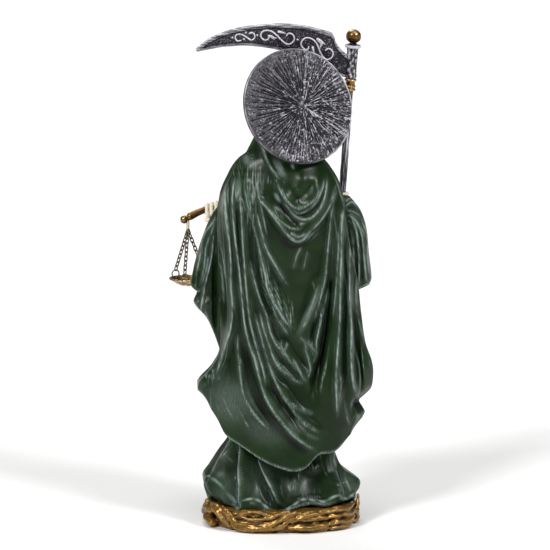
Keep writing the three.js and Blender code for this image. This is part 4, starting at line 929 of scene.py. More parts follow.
def make_ground():
    rng = np.random.default_rng(11)
    angle = np.radians(np.linspace(0, 360, 240, endpoint=False))
    half_width, half_depth = GROUND["half_width"], GROUND["half_depth"]
    # The mound under the roots, by height and share of the rim
    levels = [(0, 0.84), (1.6, 0.86), (5, 0.87), (8.4, 0.86), (9.6, 0.8), (10.4, 0.7)]
    rings = [round_points(ground_reach(angle) * share, angle, z) for z, share in levels]
    parts = [lofted(rings, (0, 0, 0), (0, 0, 10.6))]

    def outward(route, thick, share):
        """A route on the rim drawn in, so that a root of that thickness just reaches the rim."""
        return [(x * (share - thick / half_width), y * (share - thick / half_depth), z) for x, y, z in route]

    for thick, share, *route in BIG_ROOTS:
        rim = [on_ground(x, max(z, thick)) for x, z in route]
        radii = [0.5 * thick, thick, 1.1 * thick, thick, 0.4 * thick]
        parts.append(strand(outward(rim, thick, share), radii, 40, 60, 4 if thick > 1 else 2, 0.26, 1.9, 3))
    # Round knots at its left end
    for x, z, size in ((34.4, 8.4, 2.6), (35.4, 4.2, 2.6), (33.4, 2.4, 2.2), (35, 11.6, 1.4)):
        parts.append(egg(*outward([on_ground(x, z)], size, 1.0), (size, size, size * 0.9), 20, 14))
    # Smaller roots round the front
    small_roots, first_degree, span = 46, 172, 196
    for i in range(small_roots):
        start = first_degree + i * span / small_roots + rng.uniform(-4, 4)
        sweep = rng.uniform(12, 34) * rng.choice((-1, 1), p=(0.35, 0.65))
        low, high = rng.uniform(1.6, 6), rng.uniform(3, 9.8)
        thick = rng.uniform(1.0, 2.2)
        route = []
        for t in np.linspace(0, 1, 6):
            z = np.clip(mix(low, high, t) + rng.uniform(-0.5, 0.5), thick, 10.4)
            route.append(round_ground(start + sweep * t, z))
        parts.append(strand(outward(route, thick, 1.0 - rng.uniform(0, 0.02)),
                            [0.5 * thick, thick, 1.1 * thick, thick, 0.4 * thick], 36, 50, 5, 0.3, 2.0))
    # The knot that the staff stands on
    parts.append(egg((*STAFF["foot"], STAFF["start"] - 3.2), (3.2, 3.0, 3.2), 30, 20))
    made = piece("ground", *together(*parts), ["base"], "gilded_ground")
    grown_together(made, CELL["ground"])
    points, normals, _ = mesh_arrays(made)
    # Fine wrinkles along the roots, and a rough cast skin
    wrinkles = 0.09 * waves(points * (0.4, 0.4, 1.6), 1.7, 5) + 0.16 * waves(points, 3.4, 6)
    points = points + normals * wrinkles[:, None]
    # Nothing reaches below the floor or far past the solid
    low, high = node_box("base")
    move_points(made, np.clip(points, low - (0.8, 0.8, 0), high + (0.8, 0.8, 3)))
    return made


# The halo: a cast disc with uneven grooves that run out from its middle, and an edge with a painted highlight
# of silver
def make_halo():
    rng = np.random.default_rng(21)
    around, rows = 700, 80
    angle = np.linspace(0, 2 * np.pi, around, endpoint=False)
    radius, edge, dome = HALO["radius"], HALO["edge"], HALO["dome"]

    # Seen from behind, an angle of 0 is at the left and one of 270 degrees at the top. The edge has a painted
    # highlight of silver, most at the upper right and a little at the left, and painted shade out of that
    # light
    rim_light = np.clip(0.2 + 0.8 * np.cos(angle - 3.8), 0, 1)
    rim_light = np.maximum(rim_light, 0.55 * np.clip(np.cos(angle), 0, 1))
    rim_light = np.clip(rim_light * (0.8 + 0.4 * waves(round_points(radius, angle, 0.0), 4, 12)), 0, 1)
    # From the middle of the flat side out and round the edge: share of the radius, height as a share of the
    # edge's thickness, how much of the painted highlight's silver shows, and how dark the painted shade is,
    # in the light and out of it
    profile = [(0.2, -0.5, 0, 0, 0), (0.5, -0.5, 0, 0, 0), (0.8, -0.5, 0, 0, 0), (0.97, -0.5, 0, 0, 0),
               (0.992, -0.42, 0, 0.9, 0.9), (1.0, -0.3, 0, 0.9, 0.9), (1.0, 0.2, 0, 0.9, 0.9),
               (0.996, 0.4, 1, 0, 0.8), (0.992, 0.48, 1, 0, 0.8), (0.985, 0.46, 1, 0, 0.8),
               (0.976, 0.36, 0.4, 0.8, 0.8)]
    rings = [round_points(radius * share, angle, edge * height) for share, height, _, _, _ in profile]
    marks = [rim_light * silver for _, _, silver, _, _ in profile]
    shades = [mix(unlit, lit, rim_light) for _, _, _, lit, unlit in profile]
    # Where the grooves meet, and how many of each kind of line and mark the disc has
    middle = np.array((-1.7, -0.6))
    groove_count, streak_count, pit_count, speck_count = 80, 460, 900, 1300
    grooves = []
    for i in range(groove_count):
        turn = (i + rng.uniform(-0.35, 0.35)) * 2 * np.pi / groove_count
        start = rng.choice((0.4, 3, 6, 10), p=(0.35, 0.3, 0.2, 0.15)) + rng.uniform(0, 2)
        grooves.append((turn, start, radius * rng.uniform(0.8, 1.02), -rng.uniform(0.5, 0.8),
                        rng.uniform(0.17, 0.25)))
    streaks = []
    for _ in range(streak_count):
        start = radius * rng.uniform(0, 0.9)
        streaks.append((rng.uniform(0, 2 * np.pi), start, start + rng.uniform(1.2, 6), rng.uniform(0.12, 0.3),
                        rng.uniform(0.09, 0.17)))
    # Each pit of the casting and each speck that the brush left: place and size
    pits = np.column_stack([rng.uniform(-radius, radius, (pit_count, 2)), rng.uniform(0.2, 0.5, pit_count)])
    specks = np.column_stack([rng.uniform(-radius, radius, (speck_count, 2)),
                              rng.uniform(0.12, 0.3, speck_count)])
    aim = Matrix.Translation(HALO["centre"]) @ facing(HALO["back"])
    for share in np.linspace(0.968, 0.01, rows):
        base = round_points(radius * share, angle, dome * (1 - share ** 2) + edge * 0.34)
        from_middle = base[:, :2] - middle
        far = np.linalg.norm(from_middle, axis=1)
        way = np.arctan2(from_middle[:, 1], from_middle[:, 0])

        def run(turn, start, end, width):
            """How much of a line from the middle outwards lies at each point of the ring."""
            off = (way - turn + np.pi) % (2 * np.pi) - np.pi
            across = np.where(np.abs(off) < 1, far * np.sin(off), 99)
            return smooth((far - start) / 0.8) * smooth((end - far) / 1.2) * np.exp(-((across / width) ** 2))

        cut = np.zeros(around)
        for turn, start, end, depth, width in grooves:
            cut += depth * run(turn, start, end, width)
        silver, groove = np.zeros(around), np.clip(-cut / 0.4, 0, 1)
        for turn, start, end, height, width in streaks:
            strip = run(turn, start, end, width) * (1 - groove)
            cut += height * strip
            silver = np.maximum(silver, strip)
        spots = (base[:, :1] - specks[:, 0]) ** 2 + (base[:, 1:2] - specks[:, 1]) ** 2
        spots = np.exp(-spots / specks[:, 2] ** 2).max(axis=1)
        gaps = (base[:, :1] - pits[:, 0]) ** 2 + (base[:, 1:2] - pits[:, 1]) ** 2
        dents = (0.16 * np.exp(-gaps / (0.5 * pits[:, 2]) ** 2)).max(axis=1)
        uneven = 0.07 * waves(base, 1.1, 8) + 0.08 * waves(base, 5, 9)
        base[:, 2] += (np.clip(cut, -0.6, 0.4) - dents + uneven) * smooth((0.972 - share) / 0.02)
        rings.append(base)
        # Painted light: the silver is painted brighter to the right and below than at the left, where more
        # light falls on the disc
        seen = through_matrix(base, aim) - HALO["centre"]
        bright = 0.68 + 0.043 * (-seen[:, 0]) - 0.016 * seen[:, 2] + 0.45 * waves(base, 4.5, 10)
        bright = np.clip(np.maximum(bright, 0.12), 0, 1)
        silver = np.maximum(0.95 * silver * bright, spots * np.clip(bright + 0.15, 0, 1))
        grey = (0.03 + 0.03 * waves(base, 1.6, 11)) * (1 - groove)
        marks.append(np.maximum(silver, grey))
        shades.append(np.maximum(groove, 0.8 * smooth((share - 0.945) / 0.012)))
    disc = moved(lofted(rings, (0, 0, -edge / 2), (0, 0, dome + edge * 0.34)), aim)
    made = piece("halo_disc", *disc, ["halo"], "silvered_resin")
    give_value(made, "brushed", np.r_[0, np.array(marks).ravel(), 0])
    give_value(made, "shade", np.r_[0, np.array(shades).ravel(), 0])
    return made


# The scythe
def staff_at(z):
    """The middle of the shaft at a height."""
    share = (z - STAFF["start"]) / (STAFF["end"] - STAFF["start"])
    foot, head = STAFF["foot"], STAFF["head"]
    return (mix(foot[0], head[0], share), mix(foot[1], head[1], share), z)


def on_staff(part):
    """A part turned about the Z axis, set on the top of the shaft in line with it."""
    low, high = Vector(staff_at(STAFF["start"])), Vector(staff_at(STAFF["end"]))
    return moved(part, Matrix.Translation(high) @ facing(high - low))


def make_staff():
    top = STAFF["end"] - STAFF["ferrule"] - 0.3
    route = [staff_at(z) for z in np.linspace(STAFF["start"], top, 9)]
    points, faces = strand(route, [STAFF["radius"]] * 2, 30, 200)
    away = points - np.array([staff_at(z) for z in points[:, 2]])
    away /= np.maximum(np.linalg.norm(away, axis=1), 1e-6)[:, None]
    points = points + away * (0.04 * waves(points * (1, 1, 0.25), 1.4, 14) - 0.04)[:, None]
    points[:, 2] = np.clip(points[:, 2], STAFF["start"], top)
    made = piece("staff_shaft", points, faces, ["scythe_staff"], "silvered_resin")
    turn = np.arctan2(away[:, 1], away[:, 0])
    # The brush left long streaks
    streaks = waves(round_points(2.2, turn, points[:, 2] * 0.12), 1.0, 15)
    give_value(made, "brushed", 0.95 * np.clip(streaks, 0, 1))
    return made


def make_ferrule():
    low = -STAFF["ferrule"]
    profile = [(0, low), (2.1, low), (2.7, low + 0.15), (2.75, low + 0.8), (2.3, low + 1.1), (2.2, low + 1.6),
               (2.6, low + 1.9), (2.7, low + 2.2), (2.3, low + 2.5), (2.1, low + 3.2), (2.25, low + 4.3),
               (2.75, low + 4.7), (2.85, low + 5.2), (2.6, -0.35), (0, -0.3)]
    part = turned(profile, 56, 5)
    made = piece("ferrule_band", *on_staff(part), ["scythe_ferrule"], "antique_gold")
    height = part[0][:, 2]
    rings = sum(np.exp(-((height - middle) / 0.45) ** 2) for middle in (low + 0.6, low + 2.1, -0.9))
    give_value(made, "brushed", 0.85 * np.clip(rings * (0.75 + 0.5 * waves(part[0], 1.2, 52)), 0, 1))
    return made


def make_finial():
    profile = [(0, 15.9), (1.5, 16.0), (1.7, 16.3), (2.2, 16.6), (3.1, 17.3), (3.5, 18.7), (3.3, 20.2),
               (2.5, 21.4), (1.3, 22.1), (0, 22.25)]
    part = turned(profile, 64, 6)
    made = piece("scythe_ball", *on_staff(part), ["scythe_head"], "antique_gold")
    # Painted reflection and highlight: the ball is painted dark on its lower half, where it would mirror the
    # dark blade and cloak, and pale on its top, where the light falls
    give_value(made, "shade", 0.95 * smooth((19.4 + 0.5 * waves(part[0], 2.5, 50) - part[0][:, 2]) / 1.4))
    give_value(made, "brushed", 0.5 * smooth((part[0][:, 2] - 20.4 + 0.6 * waves(part[0], 2, 53)) / 1.2))
    return made


# The blade's outline as points (x, z): its upper edge from the tip, the end at the shaft, and its lower edge
# from the tip
BLADE_TOP = [(38.6, 216.6), (36.4, 218.6), (31, 222.2), (20, 226.1), (3, 228.1), (-10, 227.3),
             (-21.4, 224.6)]
BLADE_SHOULDER = [(-23.0, 223.9), (-24.2, 222.0), (-24.9, 219.6), (-27.0, 216.6), (-29.4, 214.4),
                  (-31.8, 212.4)]
BLADE_LOWER = [(38.0, 215.2), (33, 216.2), (26, 217.4), (14, 217.9), (-3, 215), (-18, 209.2),
               (-26.4, 204.6), (-29.4, 203.5), (-31.6, 203.3)]
# What stands out of both sides of the blade, as points (x, z)
SCROLLS = [
    [(18.2, 220.4), (19.8, 220.2), (20.7, 221.7), (20.2, 222.9), (18.6, 223.3), (16.8, 222.6), (15, 221.5),
     (13.6, 220.6), (12.3, 221.1), (11.8, 222.4), (12.3, 223.5), (13.4, 224), (14.3, 223.5)],
    [(5.2, 222.2), (5.9, 220.9), (7.5, 220.6), (8.9, 221.8), (9.1, 223.1), (8.2, 224.5), (6.4, 225),
     (4.1, 224.5), (2.3, 223.1), (0.5, 221.3), (-1.4, 219.5), (-3, 218.7), (-4.5, 219), (-5.9, 220.6),
     (-5.9, 222.2), (-4.8, 223.4), (-3.4, 223.6), (-2.5, 222.6)],
    [(-12.5, 217.4), (-12.3, 216.5), (-10.9, 216.3), (-9.5, 217.6), (-9.1, 219), (-9.8, 220.6),
     (-11.4, 221.6), (-13.6, 221.3), (-15.5, 219.9), (-16.8, 217.6), (-17.7, 215.3), (-18.6, 213.5),
     (-20, 212.1), (-21.4, 211.7), (-23.2, 213), (-23.6, 214.9), (-22.7, 216.2), (-21.4, 216.7),
     (-20.2, 216)],
]
SCROLL_DOTS = [(22, 221.7), (15.9, 224), (16.8, 221), (10.7, 222.8), (-7.5, 220.8)]
SCROLL_LEAVES = [((1, 224.4), (-2.2, 223.6)), ((4.4, 222.2), (3, 220.8)), ((5.4, 222.4), (2, 221.4)),
                 ((-17.4, 220.6), (-20, 218.6)), ((-14.4, 217.2), (-15, 214)),
                 ((-16.6, 221), (-18.4, 218.4)), ((-18.6, 219.4), (-17.6, 216.8))]


def make_blade():
    top = np.vstack([curve_points(BLADE_TOP, 200), curve_points(BLADE_SHOULDER, 66)])
    along_top = np.r_[0, np.cumsum(np.linalg.norm(np.diff(top, axis=0), axis=1))]
    lower_steps = 400
    lower = curve_points(BLADE_LOWER, lower_steps)
    wanted = np.interp(top[:, 0], lower[::-1, 0], np.linspace(1, 0, lower_steps))
    share = mix(along_top / along_top[-1], np.maximum.accumulate(wanted), 0.5)
    low = np.stack([np.interp(share, np.linspace(0, 1, lower_steps), lower[:, axis]) for axis in range(2)],
                   axis=1)
    across = np.r_[0, 0.02, 0.05, np.linspace(0.09, 0.9, 40), 0.94, 0.97, 0.99, 1]
    rings, marks, shades = [], [], []
    for upper, under in zip(top, low):
        length = np.linalg.norm(upper - under)
        line = upper + np.outer(across, under - upper)
        from_top, from_low = across * length, (1 - across) * length
        rim = smooth((BLADE["rim"] - from_top) / 0.4)
        rim = np.maximum(rim, 0.85 * smooth((BLADE["lower_rim"] - from_low) / 0.4))
        groove = np.exp(-(((from_top - BLADE["rim"] - 0.25) / 0.25) ** 2))
        groove += np.exp(-(((from_low - BLADE["lower_rim"] - 0.2) / 0.22) ** 2))
        round_off = np.minimum(smooth(from_top / 0.7), smooth(from_low / 0.6)) * 0.75 + 0.25
        half = (BLADE["thickness"] / 2 + BLADE["rise"] * rim - 0.18 * groove) * round_off
        place = np.column_stack([line[:, 0], np.zeros(len(line)), line[:, 1]])
        half = half + 0.045 * waves(place, 0.9, 31) + 0.04 * waves(place * (0.4, 1, 1.6), 2.6, 32)
        rear = np.column_stack([line[:, 0], BLADE["depth"] + half, line[:, 1]])
        fore = np.column_stack([line[:, 0], BLADE["depth"] - half, line[:, 1]])
        rings.append(np.vstack([rear, fore[::-1]]))
        catch = np.clip(0.45 + 0.55 * waves(place * (0.3, 1, 1.5), 1.8, 35), 0, 1)
        outer = np.exp(-((from_top - 0.35) / 0.4) ** 2) + 0.8 * np.exp(-((from_low - 0.3) / 0.35) ** 2)
        brush = np.maximum(0.6 * rim * catch, outer * np.clip(catch + 0.3, 0, 1))
        marks.append(np.r_[brush, brush[::-1]])
        shade = np.clip(groove, 0, 1) * 0.9
        shades.append(np.r_[shade, shade[::-1]])
    rings = np.array(rings)
    parts = [lofted(rings, rings[0].mean(axis=0) + (0.3, 0, 0), rings[-1].mean(axis=0))]
    marks = [np.r_[0, np.array(marks).ravel(), 0]]
    shades = [np.r_[0, np.array(shades).ravel(), 0]]
    for side in (-1, 1):
        y = BLADE["depth"] + side * (BLADE["thickness"] / 2 + 0.08)
        raised_work = [strand([(x, y, z) for x, z in route], [BLADE["wire"]] * 2, 10, 90)
                       for route in SCROLLS]
        raised_work += [egg((x, y, z), (0.48, 0.34, 0.48), 14, 10) for x, z in SCROLL_DOTS]
        raised_work += [strand([(x1, y, z1), ((x1 + x2) / 2, y, (z1 + z2) / 2), (x2, y, z2)],
                               [0.66, 0.46, 0.14], 10, 16) for (x1, z1), (x2, z2) in SCROLL_LEAVES]
        parts += raised_work
        marks += [np.full(len(points), 0.9) for points, _ in raised_work]
    # The socket that holds the blade on the shaft, with its collar
    points, faces = turned([(0, 0), (2.35, 0), (2.75, 0.6), (2.75, 1.5), (2.45, 2.2), (2.5, 8), (2.6, 13.2),
                            (2.9, 13.7), (3.6, 13.95), (3.65, 14.6), (3.55, 15.2), (2.2, 15.45), (1.65, 15.9),
                            (0, 16.2)], 72, 8)
    rough = 0.014 * waves(points, 1.2, 33) + 0.012 * waves(points, 3, 34)
    points = points + (points * (1, 1, 0)) * rough[:, None]
    parts.append(on_staff((points, faces)))
    worn = 0.75 * smooth(waves(points * (1, 1, 0.5), 1.3, 36) * 0.9)
    disc = smooth((points[:, 2] - 13.6) / 0.4) * smooth((15.4 - points[:, 2]) / 0.3)
    marks.append(np.maximum(worn, 0.8 * disc * (np.hypot(points[:, 0], points[:, 1]) > 3.3)))
    made = piece("scythe_blade", *together(*parts), ["scythe_head"], "silvered_resin")
    give_value(made, "brushed", np.clip(np.concatenate(marks), 0, 1))
    give_value(made, "shade", np.r_[shades[0], np.zeros(sum(map(len, marks[1:])))])
    return made


# The scales: a drooping beam, and from each end a pan on three chains
def beam_point(side, share):
    """A place on the beam, a share of the way from the hand to one end."""
    swing = math.radians(BEAM["swing"])
    x, y, z = BEAM["hand"]
    out = side * BEAM["reach"] * share
    return (x + out * math.cos(swing), y + out * math.sin(swing), z - BEAM["droop"] * share ** 1.3)


def make_beam():
    route = [beam_point(np.sign(s), abs(s)) for s in (-0.88, -0.5, 0, 0.5, 0.88)]
    parts = [strand(route, [BEAM["radius"] * size for size in (1.2, 1, 1, 1.2)], 28, 100)]
    for side in (-1, 1):
        parts.append(egg(beam_point(side, 1.1), [BEAM["ball"]] * 3, 32, 24))
        parts.append(strand([beam_point(side, 0.85), beam_point(side, 1.05)], [0.95, 0.95], 20, 10))
    made = piece("beam", *together(*parts), ["scale_beam"], "antique_gold")
    points, normals, _ = mesh_arrays(made)
    # Painted shade: the beam is painted dark on its underside, where it faces down away from the light
    give_value(made, "shade", 0.85 * smooth(0.35 - normals[:, 2] + 0.3 * waves(points, 2, 51)))
    return made


def link(centre, axis, turn, length, width, wire, around=28, sides=9):
    """One oval link of round wire, standing along an axis and turned about it."""
    angle = np.linspace(0, 2 * np.pi, around, endpoint=False)
    half_width, half_length = (width - wire) / 2, (length - wire) / 2
    straight = max(half_length - half_width, 0)
    line = np.stack([half_width * np.cos(angle), np.zeros(around),
                     half_width * np.sin(angle) + straight * np.sign(np.sin(angle))], axis=1)
    out = np.stack([np.cos(angle), np.zeros(around), np.sin(angle)], axis=1)
    points = np.array([line + wire / 2 * (math.cos(k) * out + math.sin(k) * np.array((0, 1, 0)))
                       for k in np.linspace(0, 2 * np.pi, sides, endpoint=False)])
    faces = []
    for k in range(sides):
        for i in range(around):
            a, b = k * around + i, k * around + (i + 1) % around
            c, d = ((k + 1) % sides) * around + i, ((k + 1) % sides) * around + (i + 1) % around
            faces.append([a, c, d, b])
    place = Matrix.Translation(Vector(centre)) @ facing(axis) @ Matrix.Rotation(turn, 4, "Z")
    return moved((points.reshape(-1, 3), faces), place)


def make_scale(word, side):
    """The hook, chains and pan that hang from one end of the beam."""
    hook_place = np.array(beam_point(side, 0.96))
    hook_top, hook_width = 1.9, 2.3
    hook_low = BEAM["radius"] + 0.9 - CHAIN["hook"]
    swing = math.radians(BEAM["swing"] + 48)
    hook_middle = hook_place + (0, 0, (hook_top + hook_low) / 2)
    parts = [link(hook_middle, (0, 0, 1), swing, hook_top - hook_low, hook_width, CHAIN["wire"], 40)]
    gather = hook_place + (0, 0, hook_low + 0.5)
    # The ring at the foot of each chain goes round the pan's rim and reaches a little below it
    ring_below = 0.62
    for degree in PAN["rings"]:
        angle = math.radians(degree)
        out = PAN["radius"] - PAN["lip"] * 0.5
        rim = hook_place + (out * math.cos(angle), out * math.sin(angle), -PAN["drop"])
        end = rim + (0, 0, 2 * CHAIN["ring"] - ring_below - CHAIN["wire"] * 0.6)
        run = end - gather
        pitch = np.linalg.norm(run) / CHAIN["count"]
        for i in range(CHAIN["count"]):
            centre = gather + run * (i + 0.5) / CHAIN["count"]
            turn = math.radians(42 + 90 * (i % 2))
            parts.append(link(centre, -run, turn, pitch + 1.9 * CHAIN["wire"], CHAIN["width"], CHAIN["wire"]))
        size = 2 * CHAIN["ring"]
        ring_middle = rim + (0, 0, CHAIN["ring"] - ring_below)
        parts.append(link(ring_middle, (0, 0, 1), math.radians(24), size, size, CHAIN["wire"], 36))
    chains = piece(word + "_chains", *together(*parts), [word + "_pan_chains"], "dark_wire")
    worn = [np.full(len(points), bright) for bright, (points, _) in zip([1.0] + [0.25] * len(parts), parts)]
    give_value(chains, "brushed", np.concatenate(worn))

    depth, wall, lip, radius = PAN["depth"], PAN["wall"], PAN["lip"], PAN["radius"] + 0.4
    profile = [(0, -depth), (2.4, -depth + 0.1), (4.4, -depth + 0.6), (6.7, -1.3),
               (radius - 0.9, -wall * 0.6), (radius - 0.2, -wall * 0.6), (radius + 0.1, 0),
               (radius - 0.2, wall * 0.6), (radius - 0.9, wall * 0.6), (radius - lip, wall * 0.2),
               (6.2, -0.8), (4, -depth + 0.6 + wall), (2, -depth + wall + 0.1), (0, -depth + wall)]
    points, faces = turned(profile, 96, 6)
    points = points + np.array((0, 0, 0.08)) * waves(points, 2.4, 40)[:, None]
    bowl = (points + hook_place + (0, 0, -PAN["drop"]), faces)
    made = piece(word + "_bowl", *bowl, [word + "_pan"], "antique_gold")
    far_out = np.hypot(points[:, 0], points[:, 1])
    on_lip = 0.8 * smooth((far_out - radius + 1.2) / 0.4) * (0.6 + 0.4 * waves(points, 1.6, 41))
    within = smooth(waves(points, 3.2, 42) * 1.4 - 0.2) * (far_out < radius - 1.2)
    give_value(made, "brushed", np.clip(np.maximum(on_lip, 0.8 * within), 0, 1))
    return chains, made


# Paints and finishes
def srgb(code):
    """A colour from its hex code as linear values."""
    parts = [int(code[i:i + 2], 16) / 255 for i in (1, 3, 5)]
    linear = [part / 12.92 if part <= 0.04045 else ((part + 0.055) / 1.055) ** 2.4 for part in parts]
    return (*linear, 1)


def node(tree, kind, settings=None, **links):
    """Adds a node with its settings. Each socket that is named, or numbered after an underscore, takes a
    value, or a link from a socket or from a node's first output."""
    added = tree.nodes.new(kind)
    for key, value in (settings or {}).items():
        setattr(added, key, value)
    for key, value in links.items():
        socket = added.inputs[int(key[1:])] if key[0] == "_" else added.inputs[key.replace("_", " ")]
        if isinstance(value, bpy.types.Node):
            value = value.outputs[0]
        if isinstance(value, bpy.types.NodeSocket):
            tree.links.new(value, socket)
        else:
            socket.default_value = value
    return added


SMOOTHLY = {"interpolation_type": "SMOOTHSTEP"}
COLOURS = {"data_type": "RGBA"}
TIMES, PLUS, LESS, LARGER = [{"operation": word, "use_clamp": True}
                             for word in ("MULTIPLY", "ADD", "SUBTRACT", "MAXIMUM")]


def painted(name, dark, body, pale, gloss, metallic=0.0, wash=0.9, brush=0.8, speckle=0.0, uneven=0.4,
            grit_mm=0.5, bump_mm=0.05, **shine):
    """Hand paint on a casting: a body colour, a dark wash that is also painted shade in the hollows, and a
    pale dry brush on the crests.
    wash and brush are how strongly these two show, speckle how much the brush catches on a pitted surface and
    uneven how much the dark clouds the body colour."""
    material = bpy.data.materials.new(name)
    material.use_nodes = True
    tree = material.node_tree
    tree.nodes.clear()
    place = node(tree, "ShaderNodeTexCoord").outputs["Object"]

    # What the surface shows. Patterns: size in millimetres, scale along Z, where less than 1 draws it out
    # upright, and fineness
    shown = {}
    patterns = {"clouds": (12, 1, 3), "worn": (2.5, 0.5, 3), "hairs": (0.45, 0.16, 3), "dots": (0.55, 1, 2),
                "sheen": (3, 1, 3), "grit": (grit_mm, 1, 5)}
    for word, (size_mm, scale_up, detail) in patterns.items():
        stretched = node(tree, "ShaderNodeMapping", Vector=place, Scale=(1, 1, scale_up))
        shown[word] = node(tree, "ShaderNodeTexNoise", Vector=stretched, Scale=1 / (size_mm * MM),
                           Detail=detail, Roughness=0.55)
    for word in ("hollow", "shade", "crest", "brushed"):
        shown[word] = node(tree, "ShaderNodeAttribute", {"attribute_name": word}).outputs["Fac"]
    # Each of these starts to show at one value and is full at another
    limits = {"clouds": (0.35, 0.65), "worn": (0.3, 0.6), "hairs": (0.4, 0.62), "dots": (0.54, 0.66),
              "hollow": (0.05, 0.8), "crest": (0.15, 1.0)}
    for word, (low, high) in limits.items():
        shown[word] = node(tree, "ShaderNodeMapRange", SMOOTHLY, Value=shown[word], From_Min=low,
                           From_Max=high)

    # Body colour with dark clouds, and the wash in the hollows and on the shade marks, partly a real wash and
    # partly painted shade
    cloudy = node(tree, "ShaderNodeMath", TIMES, _0=shown["clouds"], _1=uneven)
    colour = node(tree, "ShaderNodeMix", COLOURS, _0=cloudy, _6=srgb(body), _7=srgb(dark)).outputs[2]
    deep = node(tree, "ShaderNodeMath", LARGER, _0=shown["hollow"], _1=shown["shade"])
    wash_and_painted_shade = node(tree, "ShaderNodeMath", TIMES, _0=deep, _1=wash)
    colour = node(tree, "ShaderNodeMix", COLOURS, _0=wash_and_painted_shade, _6=colour, _7=srgb(dark)).outputs[2]

    # The dry brush: patchy on the crests, in hairs on its strokes, and in dots where the skin stands open
    patchy = node(tree, "ShaderNodeMath", TIMES, _0=shown["worn"], _1=shown["hairs"])
    patchy = node(tree, "ShaderNodeMath", TIMES, _0=patchy, _1=0.5)
    patchy = node(tree, "ShaderNodeMath", PLUS, _0=patchy, _1=0.12)
    rubbed = node(tree, "ShaderNodeMath", TIMES, _0=shown["crest"], _1=patchy)
    bristles = node(tree, "ShaderNodeMath", TIMES, _0=shown["hairs"], _1=0.3)
    bristles = node(tree, "ShaderNodeMath", PLUS, _0=bristles, _1=0.7)
    strokes = node(tree, "ShaderNodeMath", TIMES, _0=shown["brushed"], _1=bristles)
    open_skin = node(tree, "ShaderNodeMath", LESS, _0=1.0, _1=deep)
    dots = node(tree, "ShaderNodeMath", TIMES, _0=shown["dots"], _1=speckle)
    dots = node(tree, "ShaderNodeMath", TIMES, _0=dots, _1=open_skin)
    dots = node(tree, "ShaderNodeMath", TIMES, _0=dots, _1=shown["worn"])
    paint = node(tree, "ShaderNodeMath", LARGER, _0=rubbed, _1=strokes)
    paint = node(tree, "ShaderNodeMath", LARGER, _0=paint, _1=dots)
    paint = node(tree, "ShaderNodeMath", TIMES, _0=paint, _1=brush)
    colour = node(tree, "ShaderNodeMix", COLOURS, _0=paint, _6=colour, _7=srgb(pale)).outputs[2]

    roughness = node(tree, "ShaderNodeMapRange", Value=shown["sheen"], To_Min=gloss - 0.06,
                     To_Max=gloss + 0.1)
    bump = node(tree, "ShaderNodeBump", Strength=0.5, Distance=bump_mm * MM, Height=shown["grit"])
    shader = node(tree, "ShaderNodeBsdfPrincipled", Base_Color=colour, Roughness=roughness, Metallic=metallic,
                  Normal=bump, **shine)
    node(tree, "ShaderNodeOutputMaterial", Surface=shader)
    return material


# Dark green enamel under satin varnish on cast folds, with a pale grey-green dry brush on the crests
green_enamel = painted("green_enamel", "#040904", "#162b10", "#aabdb5", 0.31, wash=0.97, brush=0.9,
                       grit_mm=0.6, bump_mm=0.03, Specular_IOR_Level=0.17, Coat_Weight=0.05,
                       Coat_Roughness=0.14)
# Ivory paint under a brown wash, matt
bone_paint = painted("bone_paint", "#2a190b", "#f7eed8", "#ffffff", 0.5, wash=1.0, brush=0.9, uneven=0.06,
                     grit_mm=0.35)
# Gold bronze powder paint, rubbed back over dark brown
gilding = painted("gilding", "#0b0502", "#856024", "#ffe0a0", 0.28, 0.6, wash=1.0, brush=1.0, speckle=0.25,
                  uneven=0.3, grit_mm=0.4)
# Near-black metallic paint with a silver dry brush on a pitted casting
silvered = painted("silvered", "#050407", "#1f1b25", "#f1eef8", 0.42, 0.32, wash=0.97, brush=0.95,
                   speckle=0.27, grit_mm=0.3, bump_mm=0.08)
# Antique gold lacquer on metal, brown in the hollows
antique_gold = painted("antique_gold", "#120b06", "#855d2a", "#f8e3b4", 0.26, 0.85, wash=0.95, brush=0.9,
                       speckle=0.3, bump_mm=0.02)
# Blackened wire, worn bright outside
dark_wire = painted("dark_wire", "#0e0b08", "#2a2118", "#e6d6ab", 0.35, 0.8, wash=0.8, brush=0.8, grit_mm=0.3,
                    bump_mm=0.02)


def weather(made, fine, broad):
    """Marks where a place stands out of the form close round it, or lies low in the form farther round.
    Both take a number of rounds of easing and the height in millimetres that counts as full."""
    points, normals, edges = mesh_arrays(made)
    lengths = np.linalg.norm(points[edges[:, 0]] - points[edges[:, 1]], axis=1)
    spacing = np.bincount(edges.ravel(), np.repeat(lengths, 2)) / np.maximum(np.bincount(edges.ravel()), 1)
    closeness = np.clip(np.median(spacing) / np.maximum(spacing, 1e-6), 0, 1) ** 2
    near = eased(points, edges, fine[0])
    far = eased(near, edges, max(broad[0] - fine[0], 0))
    give_value(made, "crest", closeness * np.clip(((points - near) * normals).sum(axis=1) / fine[1], 0, 1))
    # hollow feeds the dark wash of the paint, which is partly painted shade
    give_value(made, "hollow", np.clip(-((points - far) * normals).sum(axis=1) / broad[1], 0, 1))


def finish(made, material, fine, broad):
    made.data.materials.append(material)
    weather(made, fine, broad)


